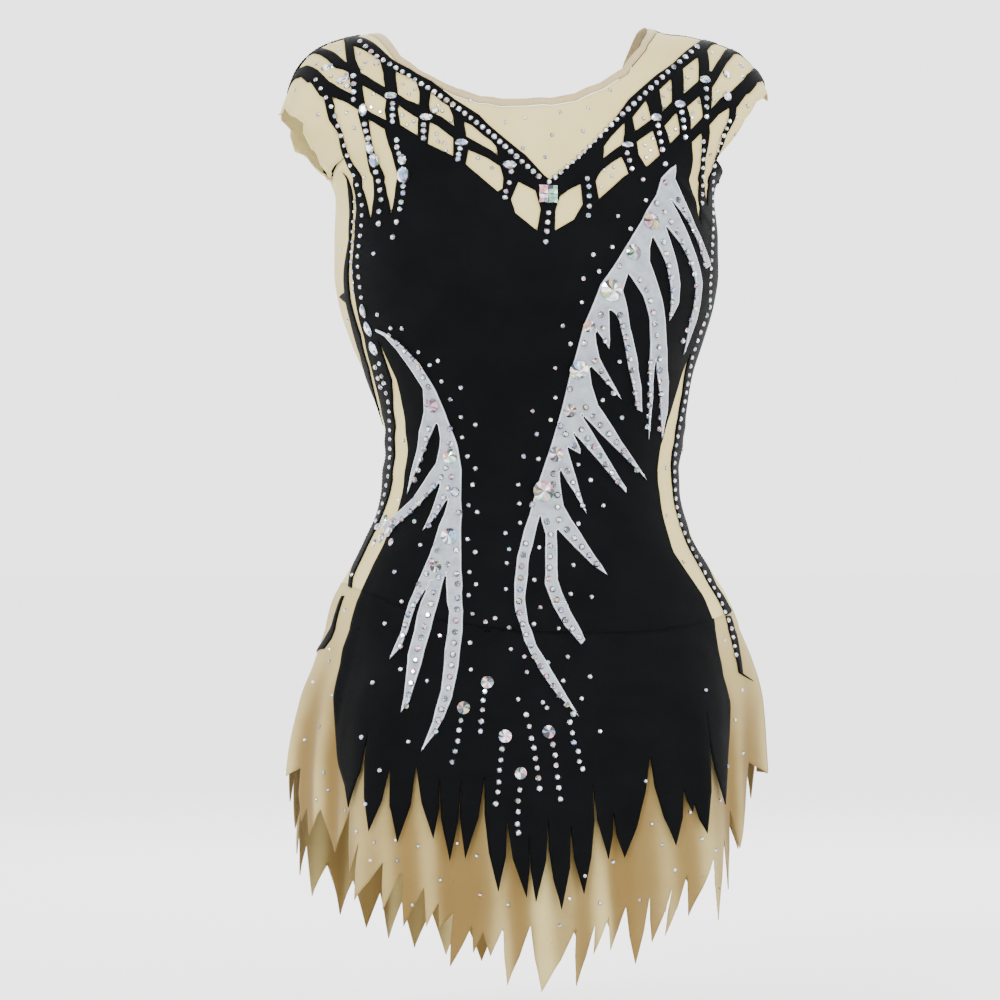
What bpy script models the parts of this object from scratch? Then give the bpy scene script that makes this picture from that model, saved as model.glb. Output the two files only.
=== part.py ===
"""Rhythmic gymnastics leotard, filled out as when worn, with nobody in it.

Metres, +Z up, front towards -Y. The origin is between the shoulders, level
with the neck end of the shoulder seams, where the wearer holds the garment up.

Every panel is an outline on a smooth body surface. A point of that surface is
named by its angle round the body (0 at the front, 90 at the wearer's left
side, which is +X) and by its height, both counted on a grid of flat facets.
Panels that lie on each other share those facets and differ only in how far
out they lie, so the layers never cross.
"""

import math

import bmesh
import bpy
from mathutils import Matrix, Vector

MM = 0.001

# Layers: how far the inner face of each lies outside the body surface, in mm
WALL = 1.0
LAYER_BRIEF = -1.4
LAYER_NUDE = 0.0
LAYER_BLACK = 1.35
LAYER_WHITE = 2.7
BINDING_INNER = -0.4
BINDING_WALL = 1.4
SEAM_GAP = 0.35
UNDERLAP = 7.0

# Picture frame: how the front outlines, taken in picture pixels, become sizes
MM_PER_PIXEL = 0.8
AXIS_X_PIXEL = 529.0
SHOULDER_Y_PIXEL = 35.0
VIEW_CENTRE_PIXEL = (500.0, 500.0)
VIEW_YAW = math.radians(9.0)
VIEW_DISTANCE = 5000.0
ARC_SAG_PIXEL = 1.0
LONG_RUN_PIXEL = 45.0
SNAP = 0.003
SHORTEST_RUN = 0.02
PICTURE_TURNS = 9
ANGLE_TURNS = 13

# Body surface
COLUMN_DEG = 10.0
FRONT_FLATNESS = 0.18
SHOULDER_START = -118.0
SHOULDER_TOP = 42.0
CROTCH_START = -500.0
CROTCH_END = -630.0
CROTCH_LEVEL = -610.0
FLUTES = 9
FLUTE_PHASE = 0.6

# height, middle, half width, front depth, back depth (mm)
TORSO = (
    (42, -4.0, 226, 84, 72),
    (-10, -4.0, 224, 88, 75),
    (-62, -4.0, 212, 93, 80),
    (-90, -4.5, 187, 95, 83),
    (-107, -5.0, 166, 97, 84),
    (-118, -5.0, 154, 99, 85),
    (-132, -4.0, 150.5, 103, 84),
    (-164, -3.0, 152.5, 112, 83),
    (-190, -3.0, 152.5, 117, 82),
    (-212, -3.0, 149.5, 116, 79),
    (-248, -2.5, 139, 106, 73),
    (-270, -1.0, 130.5, 98, 68),
    (-295, 2.0, 123, 91, 64),
    (-316, 4.0, 118.5, 87, 61),
    (-340, 2.5, 117, 85, 60),
    (-362, 1.0, 117.5, 85, 62),
    (-380, 1.0, 120.5, 86, 66),
    (-408, 0.5, 132.5, 91, 78),
    (-432, 1.0, 147, 95, 90),
    (-452, 1.5, 158.5, 98, 99),
    (-475, 3.0, 165.5, 104, 108),
    (-500, 2.5, 168, 105, 112),
    (-640, 2.5, 168, 105, 112),
)
# the skirts leave the body at the seam and flare; last column is flute depth
SKIRT = (
    (-475, 3.0, 165.5, 104, 108, 0.0),
    (-500, 3.5, 174.5, 112, 117, 1.5),
    (-532, 1.5, 184, 121, 128, 3.0),
    (-576, -1.5, 188.5, 128, 136, 4.5),
    (-640, -2.0, 191, 135, 142, 6.0),
    (-700, -2.0, 193, 140, 147, 7.0),
    (-790, -2.0, 195, 146, 153, 8.0),
)
# how far the shoulder line drops with the distance from the middle (mm)
SHOULDER_LINE = (
    (0, 44), (60, 27), (100, 4), (112, 0), (125, -1), (140, -4),
    (150, -6.5), (165, -12), (175, -18.5), (185, -30), (190, -41),
    (196, -56), (200, -66), (240, -66),
)
# waist seam of the skirts: angle in degrees, height in mm
SEAM = (
    (-180, -452), (-135, -446), (-90, -440), (-60, -448), (-29, -469),
    (0, -477), (24, -476.5), (59, -467), (90, -456), (135, -451), (180, -452),
)
# leg opening of the brief: height in mm, angle in degrees
LEG = (
    (-486, 89), (-500, 72), (-522, 52), (-548, 34), (-580, 21), (-630, 13),
)
UPPER_ROWS = (
    42, 12, -18, -46, -72, -96, -118, -144, -174, -205, -236, -268, -300,
    -330, -358, -384, -408, -431, -453, -475,
)
SKIRT_ROWS = (-502, -536, -573, -611, -650, -692, -738, -790)
BRIEF_ROWS = (-505, -540, -580, -630)
SKIRT_START = -475.0
# how far the black skirt stands off the mesh skirt, by height (mm)
SKIRT_STAND = ((-475, 0.0), (-500, 0.8), (-560, 3.0), (-650, 5.0),
               (-790, 6.0))

# Outlines in the picture, clockwise as seen. Each row is x, y, bow: the bow
# is how far the run to the next row bulges to its left, in pixels.
V_EDGE = (
    (346, 30, 0), (357.7, 38.8, 0), (453.6, 99.3, 2.5), (549.5, 180.4, -5.7),
    (628, 100, 0), (697.1, 44.7, 0), (704, 36, 0),
)
FRONT_RIGHT = (
    (716.8, 42, 0), (709.6, 48, 0), (706.5, 52, 0), (708.8, 72, 0),
    (710.5, 72.9, 1.3), (728, 50, 0), (731, 44, 0), (741, 50, 0),
    (728, 61.5, 0), (711.4, 89, 0), (711.4, 109, 2), (731, 91.6, -1.5),
    (751, 66.5, 0), (754, 58, 0), (762, 74, 0), (753, 83.6, 0),
    (736.4, 108.6, 0), (714.1, 158.6, 0),
)
STRIPE_RIGHT_OUTER = (
    (688, 538, 0), (691.4, 543.5, 1.5), (714.7, 586, 0), (729.5, 611, 0),
)
FRONT_LEFT = (
    (345, 596, 1), (354.5, 566, 0), (371, 533, 0), (378, 516, -1.6),
    (387.6, 450, -3.2), (373.8, 369.3, 0), (358, 303, 0), (354.3, 265, 0),
    (358.6, 207, -1.6), (348.8, 165, -1.7), (324.6, 101, -3.5),
    (298.3, 75, 0), (294, 68, 0), (302.3, 67.5, 1), (330, 83, 0),
    (351.9, 96.4, 0), (348.8, 73.2, 1), (335.4, 68.8, 0), (318.8, 55, 0),
    (312, 52, 0), (318, 46, 0), (326.9, 50.5, 0), (347, 64.3, 0),
    (344.3, 40, 0),
)
WAIST_SLIT_LEFT = (
    (361, 596, 0), (391.2, 533, -2), (406, 483, -0.5), (409.5, 450, 0),
    (408, 427, -0.8), (398, 379, -0.5), (383, 346, 0), (380, 338, 0.5),
    (393, 379, 1.2), (396.2, 450, 0.5), (394.5, 480, 0.8), (383.5, 516, 0),
    (354.5, 578, 0), (349.5, 596, 0),
)
WAIST_SLIT_RIGHT = (
    (722.6, 611, 0), (708, 586, 0), (684.8, 543.5, 2.3), (670, 486, 0.7),
    (670, 453, 0.3), (680, 393, 0), (688.2, 352, -0.9), (666, 420, -2),
    (656, 470, -1.2), (661, 516, -0.7), (672, 553, 0), (686, 574, 2.8),
    (711, 619.5, 0),
)
# where the mesh yoke meets the side panels, and their edges under the black
YOKE_SIDE_LEFT = (
    (346.5, 156, 0), (351, 168, 0), (359.5, 192, 0), (361, 207, 0),
    (360, 248, 0),
)
SIDE_LEFT_FRONT = (
    (361, 248, 0), (362, 285, 0), (372, 318, 0), (392, 336, -1),
    (416, 400, -2), (419, 470, -2), (399, 540, 0), (369, 604, 0),
)
SIDE_RIGHT_FRONT = (
    (697, 630, 0), (664, 572, 2), (646, 500, 2), (647, 455, 1),
    (674, 352, 0), (690, 310, 0),
)
WINDOWS = (
    ((353.7, 46.9, 1), (378.5, 60.5, 1.5), (384, 88.4, 0), (361, 74.4, 1.5)),
    ((395.6, 71.9, 1), (415, 82.5, 1.2), (418.8, 107.1, 0), (397, 95.5, 0.5)),
    ((429.5, 94.8, 0.8), (448, 107.5, 1.5), (453.6, 126.5, 0),
     (429.5, 113.6, 0)),
    ((463.4, 121.6, 0.8), (490, 141, 1.5), (497.3, 156.4, 0),
     (466.1, 136.8, 1)),
    ((362.6, 86.2, 0), (384.5, 100.9, 0), (385.8, 120.5, 0),
     (365.7, 109.8, 0.5)),
    ((397.9, 106.3, 0), (417.9, 118.8, 0), (417.5, 136.2, 0),
     (399.2, 125.9, 0.5)),
    ((429, 123.8, 0), (453.1, 138.6, 0), (452.2, 156.9, 0),
     (428.1, 143.9, 0)),
    ((468.8, 150.2, 0.8), (500, 167, 1.5), (503, 189, 0.5),
     (498.2, 192.1, 0), (466.1, 164.5, 0.5)),
    ((518.3, 182.3, 0), (535.2, 191.1, 0), (540.3, 210, 0.5),
     (537, 231.3, 0), (515, 213.5, 1), (511.2, 200, 1)),
    ((559.3, 197.3, 1.2), (579.8, 184.4, 0.5), (582, 205, 0.7),
     (573.6, 220.5, 1), (554.8, 231.3, 0), (555, 212, 0)),
    ((600.4, 170.5, 0.6), (619.6, 156.3, 0), (627, 173.5, 1),
     (598, 199.5, 0.5), (594.8, 182, 0.5)),
    ((624, 122.8, 0), (622.2, 143.8, 0), (601.3, 158, 0),
     (602.1, 146.4, 0)),
    ((645.9, 101.3, 0), (649.9, 118, 0), (633.8, 130.4, 0),
     (631.6, 117, 0.8)),
    ((652.1, 130.4, 0), (657.9, 154.5, 0), (644.1, 166.5, 1),
     (636, 153, 0), (636, 142, 0)),
    ((670.4, 80, 0), (672.1, 102.3, 0), (661.4, 112.1, 0),
     (659.2, 90.7, 0.5)),
    ((697.6, 58.6, 0), (698, 82, 0), (683.8, 95.6, 0), (682.4, 70.2, 0)),
    ((699.8, 96.5, 0), (701.6, 117.5, 0), (690, 130, 0), (687.3, 108.6, 0)),
    ((676.2, 113.5, 0), (678.8, 134.5, 0), (669, 144.7, 0),
     (663.7, 126.4, 0)),
    ((331.8, 97.3, 0.5), (357.7, 110.7, 0), (366, 143, 0.8), (375.8, 200, 1),
     (372, 220.2, -3.3), (351, 157.5, 0), (334, 106, 0)),
    ((367.9, 119.6, 0), (384.5, 129, 1), (391.6, 151.8, 1),
     (397.8, 190, 1), (392.1, 215.7, -1), (386, 182, 0.5), (374.5, 150, 0)),
    ((729.7, 107.7, -0.5), (714, 157, 0), (706.3, 186, 0),
     (705.1, 206.1, 0), (702.2, 185, 0), (702.8, 158, 0),
     (708.8, 124.6, 1.5)),
    ((700.7, 131.8, 0), (697, 183, -1), (699.3, 225.3, 2.2),
     (688.2, 172, 0), (690.9, 141.6, 0)),
)
NECK = (
    (373.5, 28, 0), (376.4, 33, 0), (400.5, 57.1, -2), (435.7, 80.5, -1),
    (480, 95.5, -1.5), (525, 98.8, -1), (575, 93, -2), (622, 67, -1),
    (640, 47, 0), (648, 33, 0), (650, 26, 0),
)
NECK_INNER = (
    (366, 30, 0), (369, 36, 0), (396, 62.5, -2), (432.5, 87.5, -1),
    (477.5, 103.6, -1.5), (525, 107, -1), (578, 100.5, -2), (627.5, 74, -1),
    (646, 51.5, 0), (656, 36, 0), (660, 28, 0),
)
ARMHOLE_SEAM_LEFT = (
    (303, 62, 0), (303, 72, 0), (323, 91, 0), (334, 115, 0), (347, 156, 0),
)
ARMHOLE_SEAM_RIGHT = (
    (751, 60, 0), (749, 80, 0), (733, 104, 0), (719, 140, 0), (713, 160, 0),
)
SLEEVE_HEM_LEFT = (
    (333, 180, 0), (325, 169, 0), (313, 149, 1), (303, 123, 0.5),
    (286, 106, 0), (278, 98, 0),
)
SLEEVE_HEM_RIGHT = (
    (770, 84, 0), (762.5, 92, 0), (729.5, 142, 0), (716, 157.5, 0),
)
SIDE_LINE_LEFT = (
    (345, 172, 1), (353.3, 187, 1.5), (354.5, 225, 0.8), (351.3, 262, 0),
    (352.2, 298, 0.5), (371, 369, 0.5), (383, 425, 0), (379.5, 424, 0),
    (371, 388, 0), (352, 318, 0), (348, 302, 0), (341.5, 296, 0),
    (346.5, 292, 0), (346.5, 266, 0.7), (350.8, 240, -0.8),
    (351, 195, -0.8),
)
STRIPE_END_LEFT = (
    (345.5, 597, 0), (341.5, 608, 0), (333, 640, 0), (327, 650, 1),
    (316, 653, -1), (325, 644, 0), (334, 625, 0), (343, 597, 0),
)
STRIPE_END_RIGHT = (
    (729, 617, 0), (734.6, 635, 0), (739.2, 654.4, 0), (743, 674, -1),
    (751, 682, 1), (739, 673, 0), (733, 649, 0), (724.5, 617, 0),
)
FLAME_RIGHT = (
    (672.8, 164.3, 0), (675.8, 188.3, 1), (707.3, 265.4, 0),
    (702.7, 268.7, -6), (667, 199, 4.5), (699, 283, 3.5), (681, 353.3, 0),
    (693.2, 286, -5.5), (663.7, 226.4, 1.5), (677.4, 284, 3.5),
    (666.7, 319.3, -8), (651.4, 237.2, -1.5), (647.8, 262, -0.5),
    (661, 305, 0.5), (665.8, 380, 2), (659.5, 438, -0.8),
    (653.7, 355.8, 0), (646.8, 439, 0), (647.8, 320, -4), (626.9, 273.7, -1),
    (621.5, 290, 0), (636, 362.4, 1), (640, 411.3, 0), (635.2, 408.9, 0),
    (618, 320, -1.5), (607.8, 307.7, 0), (608.6, 339.2, 0),
    (607.5, 347.8, 0), (594.2, 327.6, -1.5), (598, 356, 0),
    (619.7, 398.6, 0), (588.4, 363.3, -2.5), (597, 404, 0),
    (644.5, 479.7, 0), (579.6, 412.2, 0), (624.3, 488, 0), (624, 493, 0),
    (572.9, 431.6, 0), (579.5, 449, 0), (579.2, 454, 0), (566.2, 446.5, 0),
    (585.8, 514.5, 0), (558.8, 468, -1), (563, 506, -0.5),
    (600, 564.5, 0), (606.5, 575.5, 0), (594.4, 567.6, 1),
    (556.3, 528.6, 0), (557.2, 580, -1.5), (584.8, 640.6, 0),
    (581, 645.5, 5), (544.5, 585, 0), (545, 535, 0), (539.7, 515.4, -3),
    (524.8, 600, -5), (548, 667, 0), (577.5, 717.5, 3),
    (537.4, 669.7, 2.5), (515, 612, 4.5), (524, 529.5, 0.8),
    (550.5, 445, -0.5), (573, 359, 2.5), (599.5, 284.5, -0.8),
    (640, 222, 0), (667.4, 167.9, 0),
)
FLAME_LEFT = (
    (378, 327.6, 1), (387, 331.5, 2), (421, 362.6, 1.7), (449.3, 417.3, 2.4),
    (462.5, 470, 0), (462, 560, 0), (463.3, 612, 1.3), (456.6, 678, 1.8),
    (444.2, 717.8, 1.2), (421.8, 752.3, -1.5), (440.9, 691.3, 0),
    (449.3, 612, -1), (447, 571.9, 0), (431, 632.4, 0.5),
    (416, 686.3, 0.5), (411, 702.9, 0), (402.7, 713.7, 0),
    (405.2, 699.6, 0), (409.4, 656.5, 0), (417.7, 615.8, 0),
    (432.7, 579.4, 0), (414.4, 612.5, 0), (402.8, 649, 1), (392, 661, -1),
    (401, 635.7, 0), (412.8, 596, 0), (431, 556, 0), (450.4, 496.4, 1),
    (434.3, 521.3, 0), (424.4, 531.3, 0), (431, 516.3, 0),
    (442.3, 481.5, 1), (402.8, 523, 0), (388, 537, 0), (385, 528, 0),
    (416, 498, 0), (437.6, 463.3, 0), (442.3, 438, 0), (439.8, 420.7, 0.5),
    (427.7, 447.2, 0), (409.8, 494.4, 0), (422.7, 430.6, 0),
    (426, 410.7, -0.5), (424.4, 387.5, -1), (397.8, 347.7, 0),
    (387, 335, -1), (378, 330, 0),
)
# skirt edges from the seam to the hem, and tongues: tip x, y, valley x, y
BLACK_SKIRT_LEFT = ((346, 794, 0), (334.7, 736, 1), (334, 700, 0),
                    (345, 649, 0), (361, 597, 0))
BLACK_SKIRT_RIGHT = ((713, 622, 0), (717.2, 650.6, -1), (729.7, 702, 1),
                     (728, 735, 0), (719, 805, 0))
BLACK_TONGUES = (
    (719, 805, 700, 712), (698, 834, 687.6, 804), (686.6, 813, 679, 790),
    (671.3, 846, 648.4, 757), (625, 858, 613, 811),
    (607.8, 859, 591, 783), (582.5, 894, 568.6, 825), (559, 910, 546, 819),
    (533.6, 903, 527, 836), (525, 898, 506.5, 821), (497.8, 892, 484.5, 775),
    (465, 859, 460.8, 778), (449.5, 862, 439.2, 778), (434, 839, 417.6, 766),
    (400, 843, 393.6, 769), (375, 832, 373, 732), (353.5, 808, 348.8, 786),
)
NUDE_TONGUES = (
    (760, 774, 751, 762), (744, 848, 736, 809), (734, 889, 724.5, 836),
    (714, 920, 709, 856), (686, 916, 685, 874), (664, 937, 671, 887),
    (653, 943, 651, 897), (638, 965, 629, 907), (612, 950, 610, 916),
    (594, 955, 595, 925), (576, 986, 576, 927), (540, 992, 529.5, 925),
    (507, 986, 503, 928), (490, 956, 483, 932), (473, 953, 472, 925),
    (449, 967, 452, 913), (439, 928, 438, 902), (426, 927, 424, 887),
    (404, 927, 403, 872), (386, 910, 386, 862), (357, 900, 362, 844),
    (349, 875, 350, 809), (328, 852, 319, 809), (307, 836, 306, 808),
    (302, 822, 303, 768), (296.6, 777, 294, 755),
)
# how far the sides of the tongues bulge, as a share of their length
BLACK_BULGE = 0.046
NUDE_BULGE = 0.02
SLIT_SHARE = 0.2
# back hem: angle in degrees and height of the middle line of the tongues
BACK_HEM = ((93, -592), (115, -650), (140, -700), (180, -735), (220, -700),
            (245, -650), (267, -592))
BACK_TONGUE_DEG = 8.0
BACK_TONGUE_DEPTH = 34.0
# low back neck, angle on the front chart and height, left to right
BACK_NECK = (
    (-34, 42), (-31, 6), (-29, -30), (-27.5, -62), (-26, -90), (-22, -118),
    (-14, -134), (0, -140), (12, -134), (19, -118), (22, -90), (23, -62),
    (24, -30), (25, 6), (26, 42),
)
BINDING_WIDTH = 6.4
YOKE_BOTTOM = -171.0
YOKE_SIDE_DEG = 78.0
FRONT_EDGE = 93.0
# side and back seams of the body, in degrees
SIDE_SEAM = 89.8
BACK_SEAM = 110.0
BACK_EDGE = 75.0
UNDERARM_DEG = 88.0
ARMHOLE_DEG = 84.0
SLEEVE_LIFT = 2.0
STEP_DEG = 5.0
BACK_INSET_DEG = 4.0
FRONT_SIDE_END = -372.0
YOKE_SIDE_END = -200.0
CORNER_LEFT_DEG = 0.6
CORNER_RIGHT_DEG = 0.3
LEG_STEP = 18.0
LEG_STEPS = 8
LEG_CLEAR = 0.2

# stones: picture x, y, diameter in pixels, layer they lie on
STONES = (
    ("flame_right", 650, 222, 18, LAYER_WHITE),
    ("flame_right", 632, 253, 16, LAYER_WHITE),
    ("flame_right", 610, 290, 22, LAYER_WHITE),
    ("flame_right", 588, 325, 13, LAYER_WHITE),
    ("flame_right", 578, 369, 20, LAYER_WHITE),
    ("flame_right", 569, 410, 14, LAYER_WHITE),
    ("flame_right", 555, 454, 15, LAYER_WHITE),
    ("flame_right", 543, 491, 21, LAYER_WHITE),
    ("flame_left", 433, 404, 16, LAYER_WHITE),
    ("flame_left", 451, 456, 15, LAYER_WHITE),
    ("flame_left", 450, 537, 17, LAYER_WHITE),
    ("flame_left", 437, 568, 12, LAYER_WHITE),
    ("skirt", 487, 683, 13, LAYER_BLACK),
    ("skirt", 463, 708, 13, LAYER_BLACK),
    ("skirt", 504, 737, 13, LAYER_BLACK),
    ("skirt", 519, 774, 12, LAYER_BLACK),
    ("skirt", 547, 733, 13, LAYER_BLACK),
)
STONE_SIDES = 10
STONE_HEIGHT_SHARE = 0.3
STONE_TABLE_SHARE = 0.55
STONE_AXIS = 4.0
NECK_STONE = (548, 194, 19)
NECK_STONE_TURN = 8.0
# how hollow or round the cloth is under a stone: its radius squared over
# this is the extra clearance, in mm
BODY_HOLLOW = 100.0
SKIRT_HOLLOW = 30.0
SKIRT_TOP_PIXEL = 630.0

# name, colour, roughness
NUDE = ("nude_mesh", (0.62, 0.52, 0.37), 0.6)
BLACK = ("black_lycra", (0.008, 0.009, 0.010), 0.42)
WHITE = ("white_satin", (0.62, 0.64, 0.68), 0.3)
CRYSTAL = ("crystal", (0.75, 0.78, 0.80), 0.08)


def clear_scene():
    """Take every object out of the open scene."""
    for obj in list(bpy.data.objects):
        bpy.data.objects.remove(obj, do_unlink=True)


def garment():
    """Collection that holds the pieces."""
    found = bpy.data.collections.get("gymnastics_leotard")
    if not found:
        found = bpy.data.collections.new("gymnastics_leotard")
        bpy.context.scene.collection.children.link(found)
    return found


def material(spec):
    """Return the material of a (name, colour, roughness) row."""
    name, colour, roughness = spec
    found = bpy.data.materials.get(name)
    if found:
        return found
    made = bpy.data.materials.new(name)
    made.use_nodes = True
    shader = made.node_tree.nodes["Principled BSDF"]
    shader.inputs["Base Color"].default_value = (*colour, 1.0)
    shader.inputs["Roughness"].default_value = roughness
    shader.inputs["Metallic"].default_value = 0.0
    return made


def table_slope(table, i, column):
    """Slope of a table column at a row, flat at a turning point."""
    before = max(i - 1, 0)
    after = min(i + 1, len(table) - 1)
    if before == i or after == i:
        return 0.0 if table[before][column] == table[after][column] else (
            (table[after][column] - table[before][column])
            / (table[after][0] - table[before][0]))
    left = ((table[i][column] - table[before][column])
            / (table[i][0] - table[before][0]))
    right = ((table[after][column] - table[i][column])
             / (table[after][0] - table[i][0]))
    if left * right <= 0:
        return 0.0
    return 2 * left * right / (left + right)


def smooth(table, where, column=1):
    """Read a table between its rows along a smooth curve without overshoot."""
    rows = table if table[0][0] < table[-1][0] else table[::-1]
    if where <= rows[0][0]:
        return rows[0][column]
    if where >= rows[-1][0]:
        return rows[-1][column]
    i = max(k for k in range(len(rows) - 1) if rows[k][0] <= where)
    span = rows[i + 1][0] - rows[i][0]
    t = (where - rows[i][0]) / span
    start, end = rows[i][column], rows[i + 1][column]
    slope_a = table_slope(rows, i, column) * span
    slope_b = table_slope(rows, i + 1, column) * span
    return (start * (2 * t**3 - 3 * t**2 + 1) + slope_a * (t**3 - 2 * t**2 + t)
            + end * (3 * t**2 - 2 * t**3) + slope_b * (t**3 - t**2))


def shoulder_level(x):
    """Height of the shoulder line over a point x, in mm."""
    return smooth(SHOULDER_LINE, abs(x))


def body_point(angle, height):
    """Point of the body surface (mm). Heights past the top or the crotch
    come back down, or up, the other side."""
    behind = False
    if height > SHOULDER_TOP:
        height, behind = 2 * SHOULDER_TOP - height, True
    if height < CROTCH_END:
        height, behind = 2 * CROTCH_END - height, True
    middle = smooth(TORSO, height, 1)
    x = middle + smooth(TORSO, height, 2) * math.sin(angle)
    cosine = math.cos(angle) * (1 + FRONT_FLATNESS * math.sin(angle)**2)
    level, share = height, 1.0
    if height > SHOULDER_START:
        turn = (height - SHOULDER_START) / (SHOULDER_TOP - SHOULDER_START)
        share = math.cos(turn * math.pi / 2)
        level = SHOULDER_START + ((shoulder_level(x) - SHOULDER_START)
                                  * math.sin(turn * math.pi / 2))
    if height < CROTCH_START:
        turn = (CROTCH_START - height) / (CROTCH_START - CROTCH_END)
        share = math.cos(turn * math.pi / 2)
        level = CROTCH_START + ((CROTCH_LEVEL - CROTCH_START)
                                * math.sin(turn * math.pi / 2))
    behind = behind != (cosine < 0)
    depth = smooth(TORSO, height, 4 if behind else 3)
    y = abs(cosine) * share * depth * (1 if behind else -1)
    return Vector((x, y, level))


def skirt_point(angle, height):
    """Point of the skirts' surface (mm), with the flutes left out."""
    x = (smooth(SKIRT, height, 1)
         + smooth(SKIRT, height, 2) * math.sin(angle))
    cosine = math.cos(angle) * (1 + FRONT_FLATNESS * math.sin(angle)**2)
    depth = smooth(SKIRT, height, 3 if cosine > 0 else 4)
    return Vector((x, -depth * cosine, height))


def cloth_point(angle, height):
    """Point of the garment's surface (mm): the body, and below the seam the
    skirts."""
    if SKIRT_START - 0.01 <= height <= 2 * SHOULDER_TOP - SKIRT_START + 0.01:
        return body_point(angle, height)
    return skirt_point(angle, height)


def flute(angle, height):
    """How far a flute of the skirts stands out here, in mm."""
    return (smooth(SKIRT, height, 5)
            * math.cos(FLUTES * angle + FLUTE_PHASE))


def offset_point(surface, angle, height, out):
    """Point lying out from a surface along its normal, in mm."""
    step_a, step_h = 0.01, 1.5
    across = (surface(angle + step_a, height)
              - surface(angle - step_a, height))
    upward = (surface(angle, height + step_h)
              - surface(angle, height - step_h))
    normal = across.cross(upward).normalized()
    if surface is cloth_point and height < SKIRT_START:
        out += flute(angle, height)
    return surface(angle, height) + normal * out


class Chart:
    """Grid of flat facets that all panels of one surface share."""

    def __init__(self, surface, rows, stand=None):
        self.surface = surface
        self.rows = rows
        self.stand = stand
        self.cache = {}

    def height_of(self, row):
        """Height of a grid row; rows run past both ends by mirroring."""
        last = len(self.rows) - 1
        if row < 0:
            return 2 * self.rows[0] - self.rows[-row]
        if row > last:
            return 2 * self.rows[last] - self.rows[2 * last - row]
        return self.rows[row]

    def to_grid(self, angle, height):
        """Grid place (column, row) of an angle and height."""
        last = len(self.rows) - 1
        if height > self.rows[0]:
            return (math.degrees(angle) / COLUMN_DEG,
                    -self.row_of(2 * self.rows[0] - height))
        if height < self.rows[last]:
            return (math.degrees(angle) / COLUMN_DEG,
                    2 * last - self.row_of(2 * self.rows[last] - height))
        return math.degrees(angle) / COLUMN_DEG, self.row_of(height)

    def row_of(self, height):
        """Row place of a height within the chart."""
        for i in range(len(self.rows) - 1):
            if self.rows[i + 1] <= height:
                return i + ((self.rows[i] - height)
                            / (self.rows[i] - self.rows[i + 1]))
        return len(self.rows) - 1.0

    def node(self, column, row, out):
        """Corner of the facets, moved out by a layer's height."""
        key = (column, row, round(out, 3))
        if key not in self.cache:
            angle = math.radians(column * COLUMN_DEG)
            height = self.height_of(row)
            stand = smooth(self.stand, height) if self.stand else 0.0
            self.cache[key] = offset_point(
                self.surface, angle, height, out + stand)
        return self.cache[key]

    def place(self, column, row, out):
        """Point on the facets at a grid place."""
        c, r = math.floor(column + 1e-6), math.floor(row + 1e-6)
        f, g = column - c, row - r
        right, below = self.node(c + 1, r, out), self.node(c, r + 1, out)
        if f + g <= 1.0:
            start = self.node(c, r, out)
            return start + (right - start) * f + (below - start) * g
        end = self.node(c + 1, r + 1, out)
        return end + (below - end) * (1 - f) + (right - end) * (1 - g)


def rim_angles(height):
    """Left and right angles where the surface turns out of the picture."""
    sections = TORSO if height >= SKIRT_START else SKIRT
    share = 1.0
    if height > SHOULDER_START:
        share = math.cos((height - SHOULDER_START) * math.pi / 2
                         / (SHOULDER_TOP - SHOULDER_START))
    wide = smooth(sections, height, 2) * math.cos(VIEW_YAW)
    front = smooth(sections, height, 3) * share * math.sin(VIEW_YAW)
    back = smooth(sections, height, 4) * share * math.sin(VIEW_YAW)
    return math.atan2(wide, back) - math.pi, math.atan2(wide, front)


def picture_to_body(x_pixel, y_pixel):
    """Angle and height of the surface point seen at a picture point."""
    u0 = (VIEW_CENTRE_PIXEL[0] - AXIS_X_PIXEL) * MM_PER_PIXEL
    v0 = (SHOULDER_Y_PIXEL - VIEW_CENTRE_PIXEL[1]) * MM_PER_PIXEL
    u = (x_pixel - AXIS_X_PIXEL) * MM_PER_PIXEL
    v = (SHOULDER_Y_PIXEL - y_pixel) * MM_PER_PIXEL
    cosine, sine = math.cos(VIEW_YAW), math.sin(VIEW_YAW)
    point, height, angle = Vector((u, -60.0, v)), v, 0.0
    for _ in range(PICTURE_TURNS):
        zoom = 1 + (point.y * cosine + point.x * sine) / VIEW_DISTANCE
        across = u0 + (u - u0) * zoom
        height = v0 + (v - v0) * zoom
        if height > SHOULDER_START:
            reach = shoulder_level(point.x) - SHOULDER_START
            share = min((height - SHOULDER_START) / reach, 1.0)
            height = SHOULDER_START + ((SHOULDER_TOP - SHOULDER_START)
                                       * math.asin(share) * 2 / math.pi)
        low, high = rim_angles(height)
        for _ in range(ANGLE_TURNS):
            angle = (low + high) / 2
            seen = cloth_point(angle, height)
            if seen.x * cosine - seen.y * sine < across:
                low = angle
            else:
                high = angle
        point = (point + cloth_point(angle, height)) / 2
    return angle, height


def arc_run(rows, closed=False):
    """Picture points along runs that bulge to the left by their bow."""
    points = []
    count = len(rows)
    for i in range(count if closed else count - 1):
        x0, y0, bow = rows[i]
        x1, y1 = rows[(i + 1) % count][:2]
        length = math.hypot(x1 - x0, y1 - y0)
        pieces = max(math.ceil(math.sqrt(abs(bow) / ARC_SAG_PIXEL)),
                     math.ceil(length / LONG_RUN_PIXEL), 1)
        for k in range(pieces):
            t = k / pieces
            lift = 4 * bow * t * (1 - t) / max(length, 1e-6)
            points.append((x0 + (x1 - x0) * t + (y1 - y0) * lift,
                           y0 + (y1 - y0) * t - (x1 - x0) * lift))
    if not closed:
        points.append(rows[-1][:2])
    return points


def front_run(rows, closed=False):
    """Angle and height pairs of a run given in the picture."""
    return [picture_to_body(x, y) for x, y in arc_run(rows, closed)]


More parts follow.
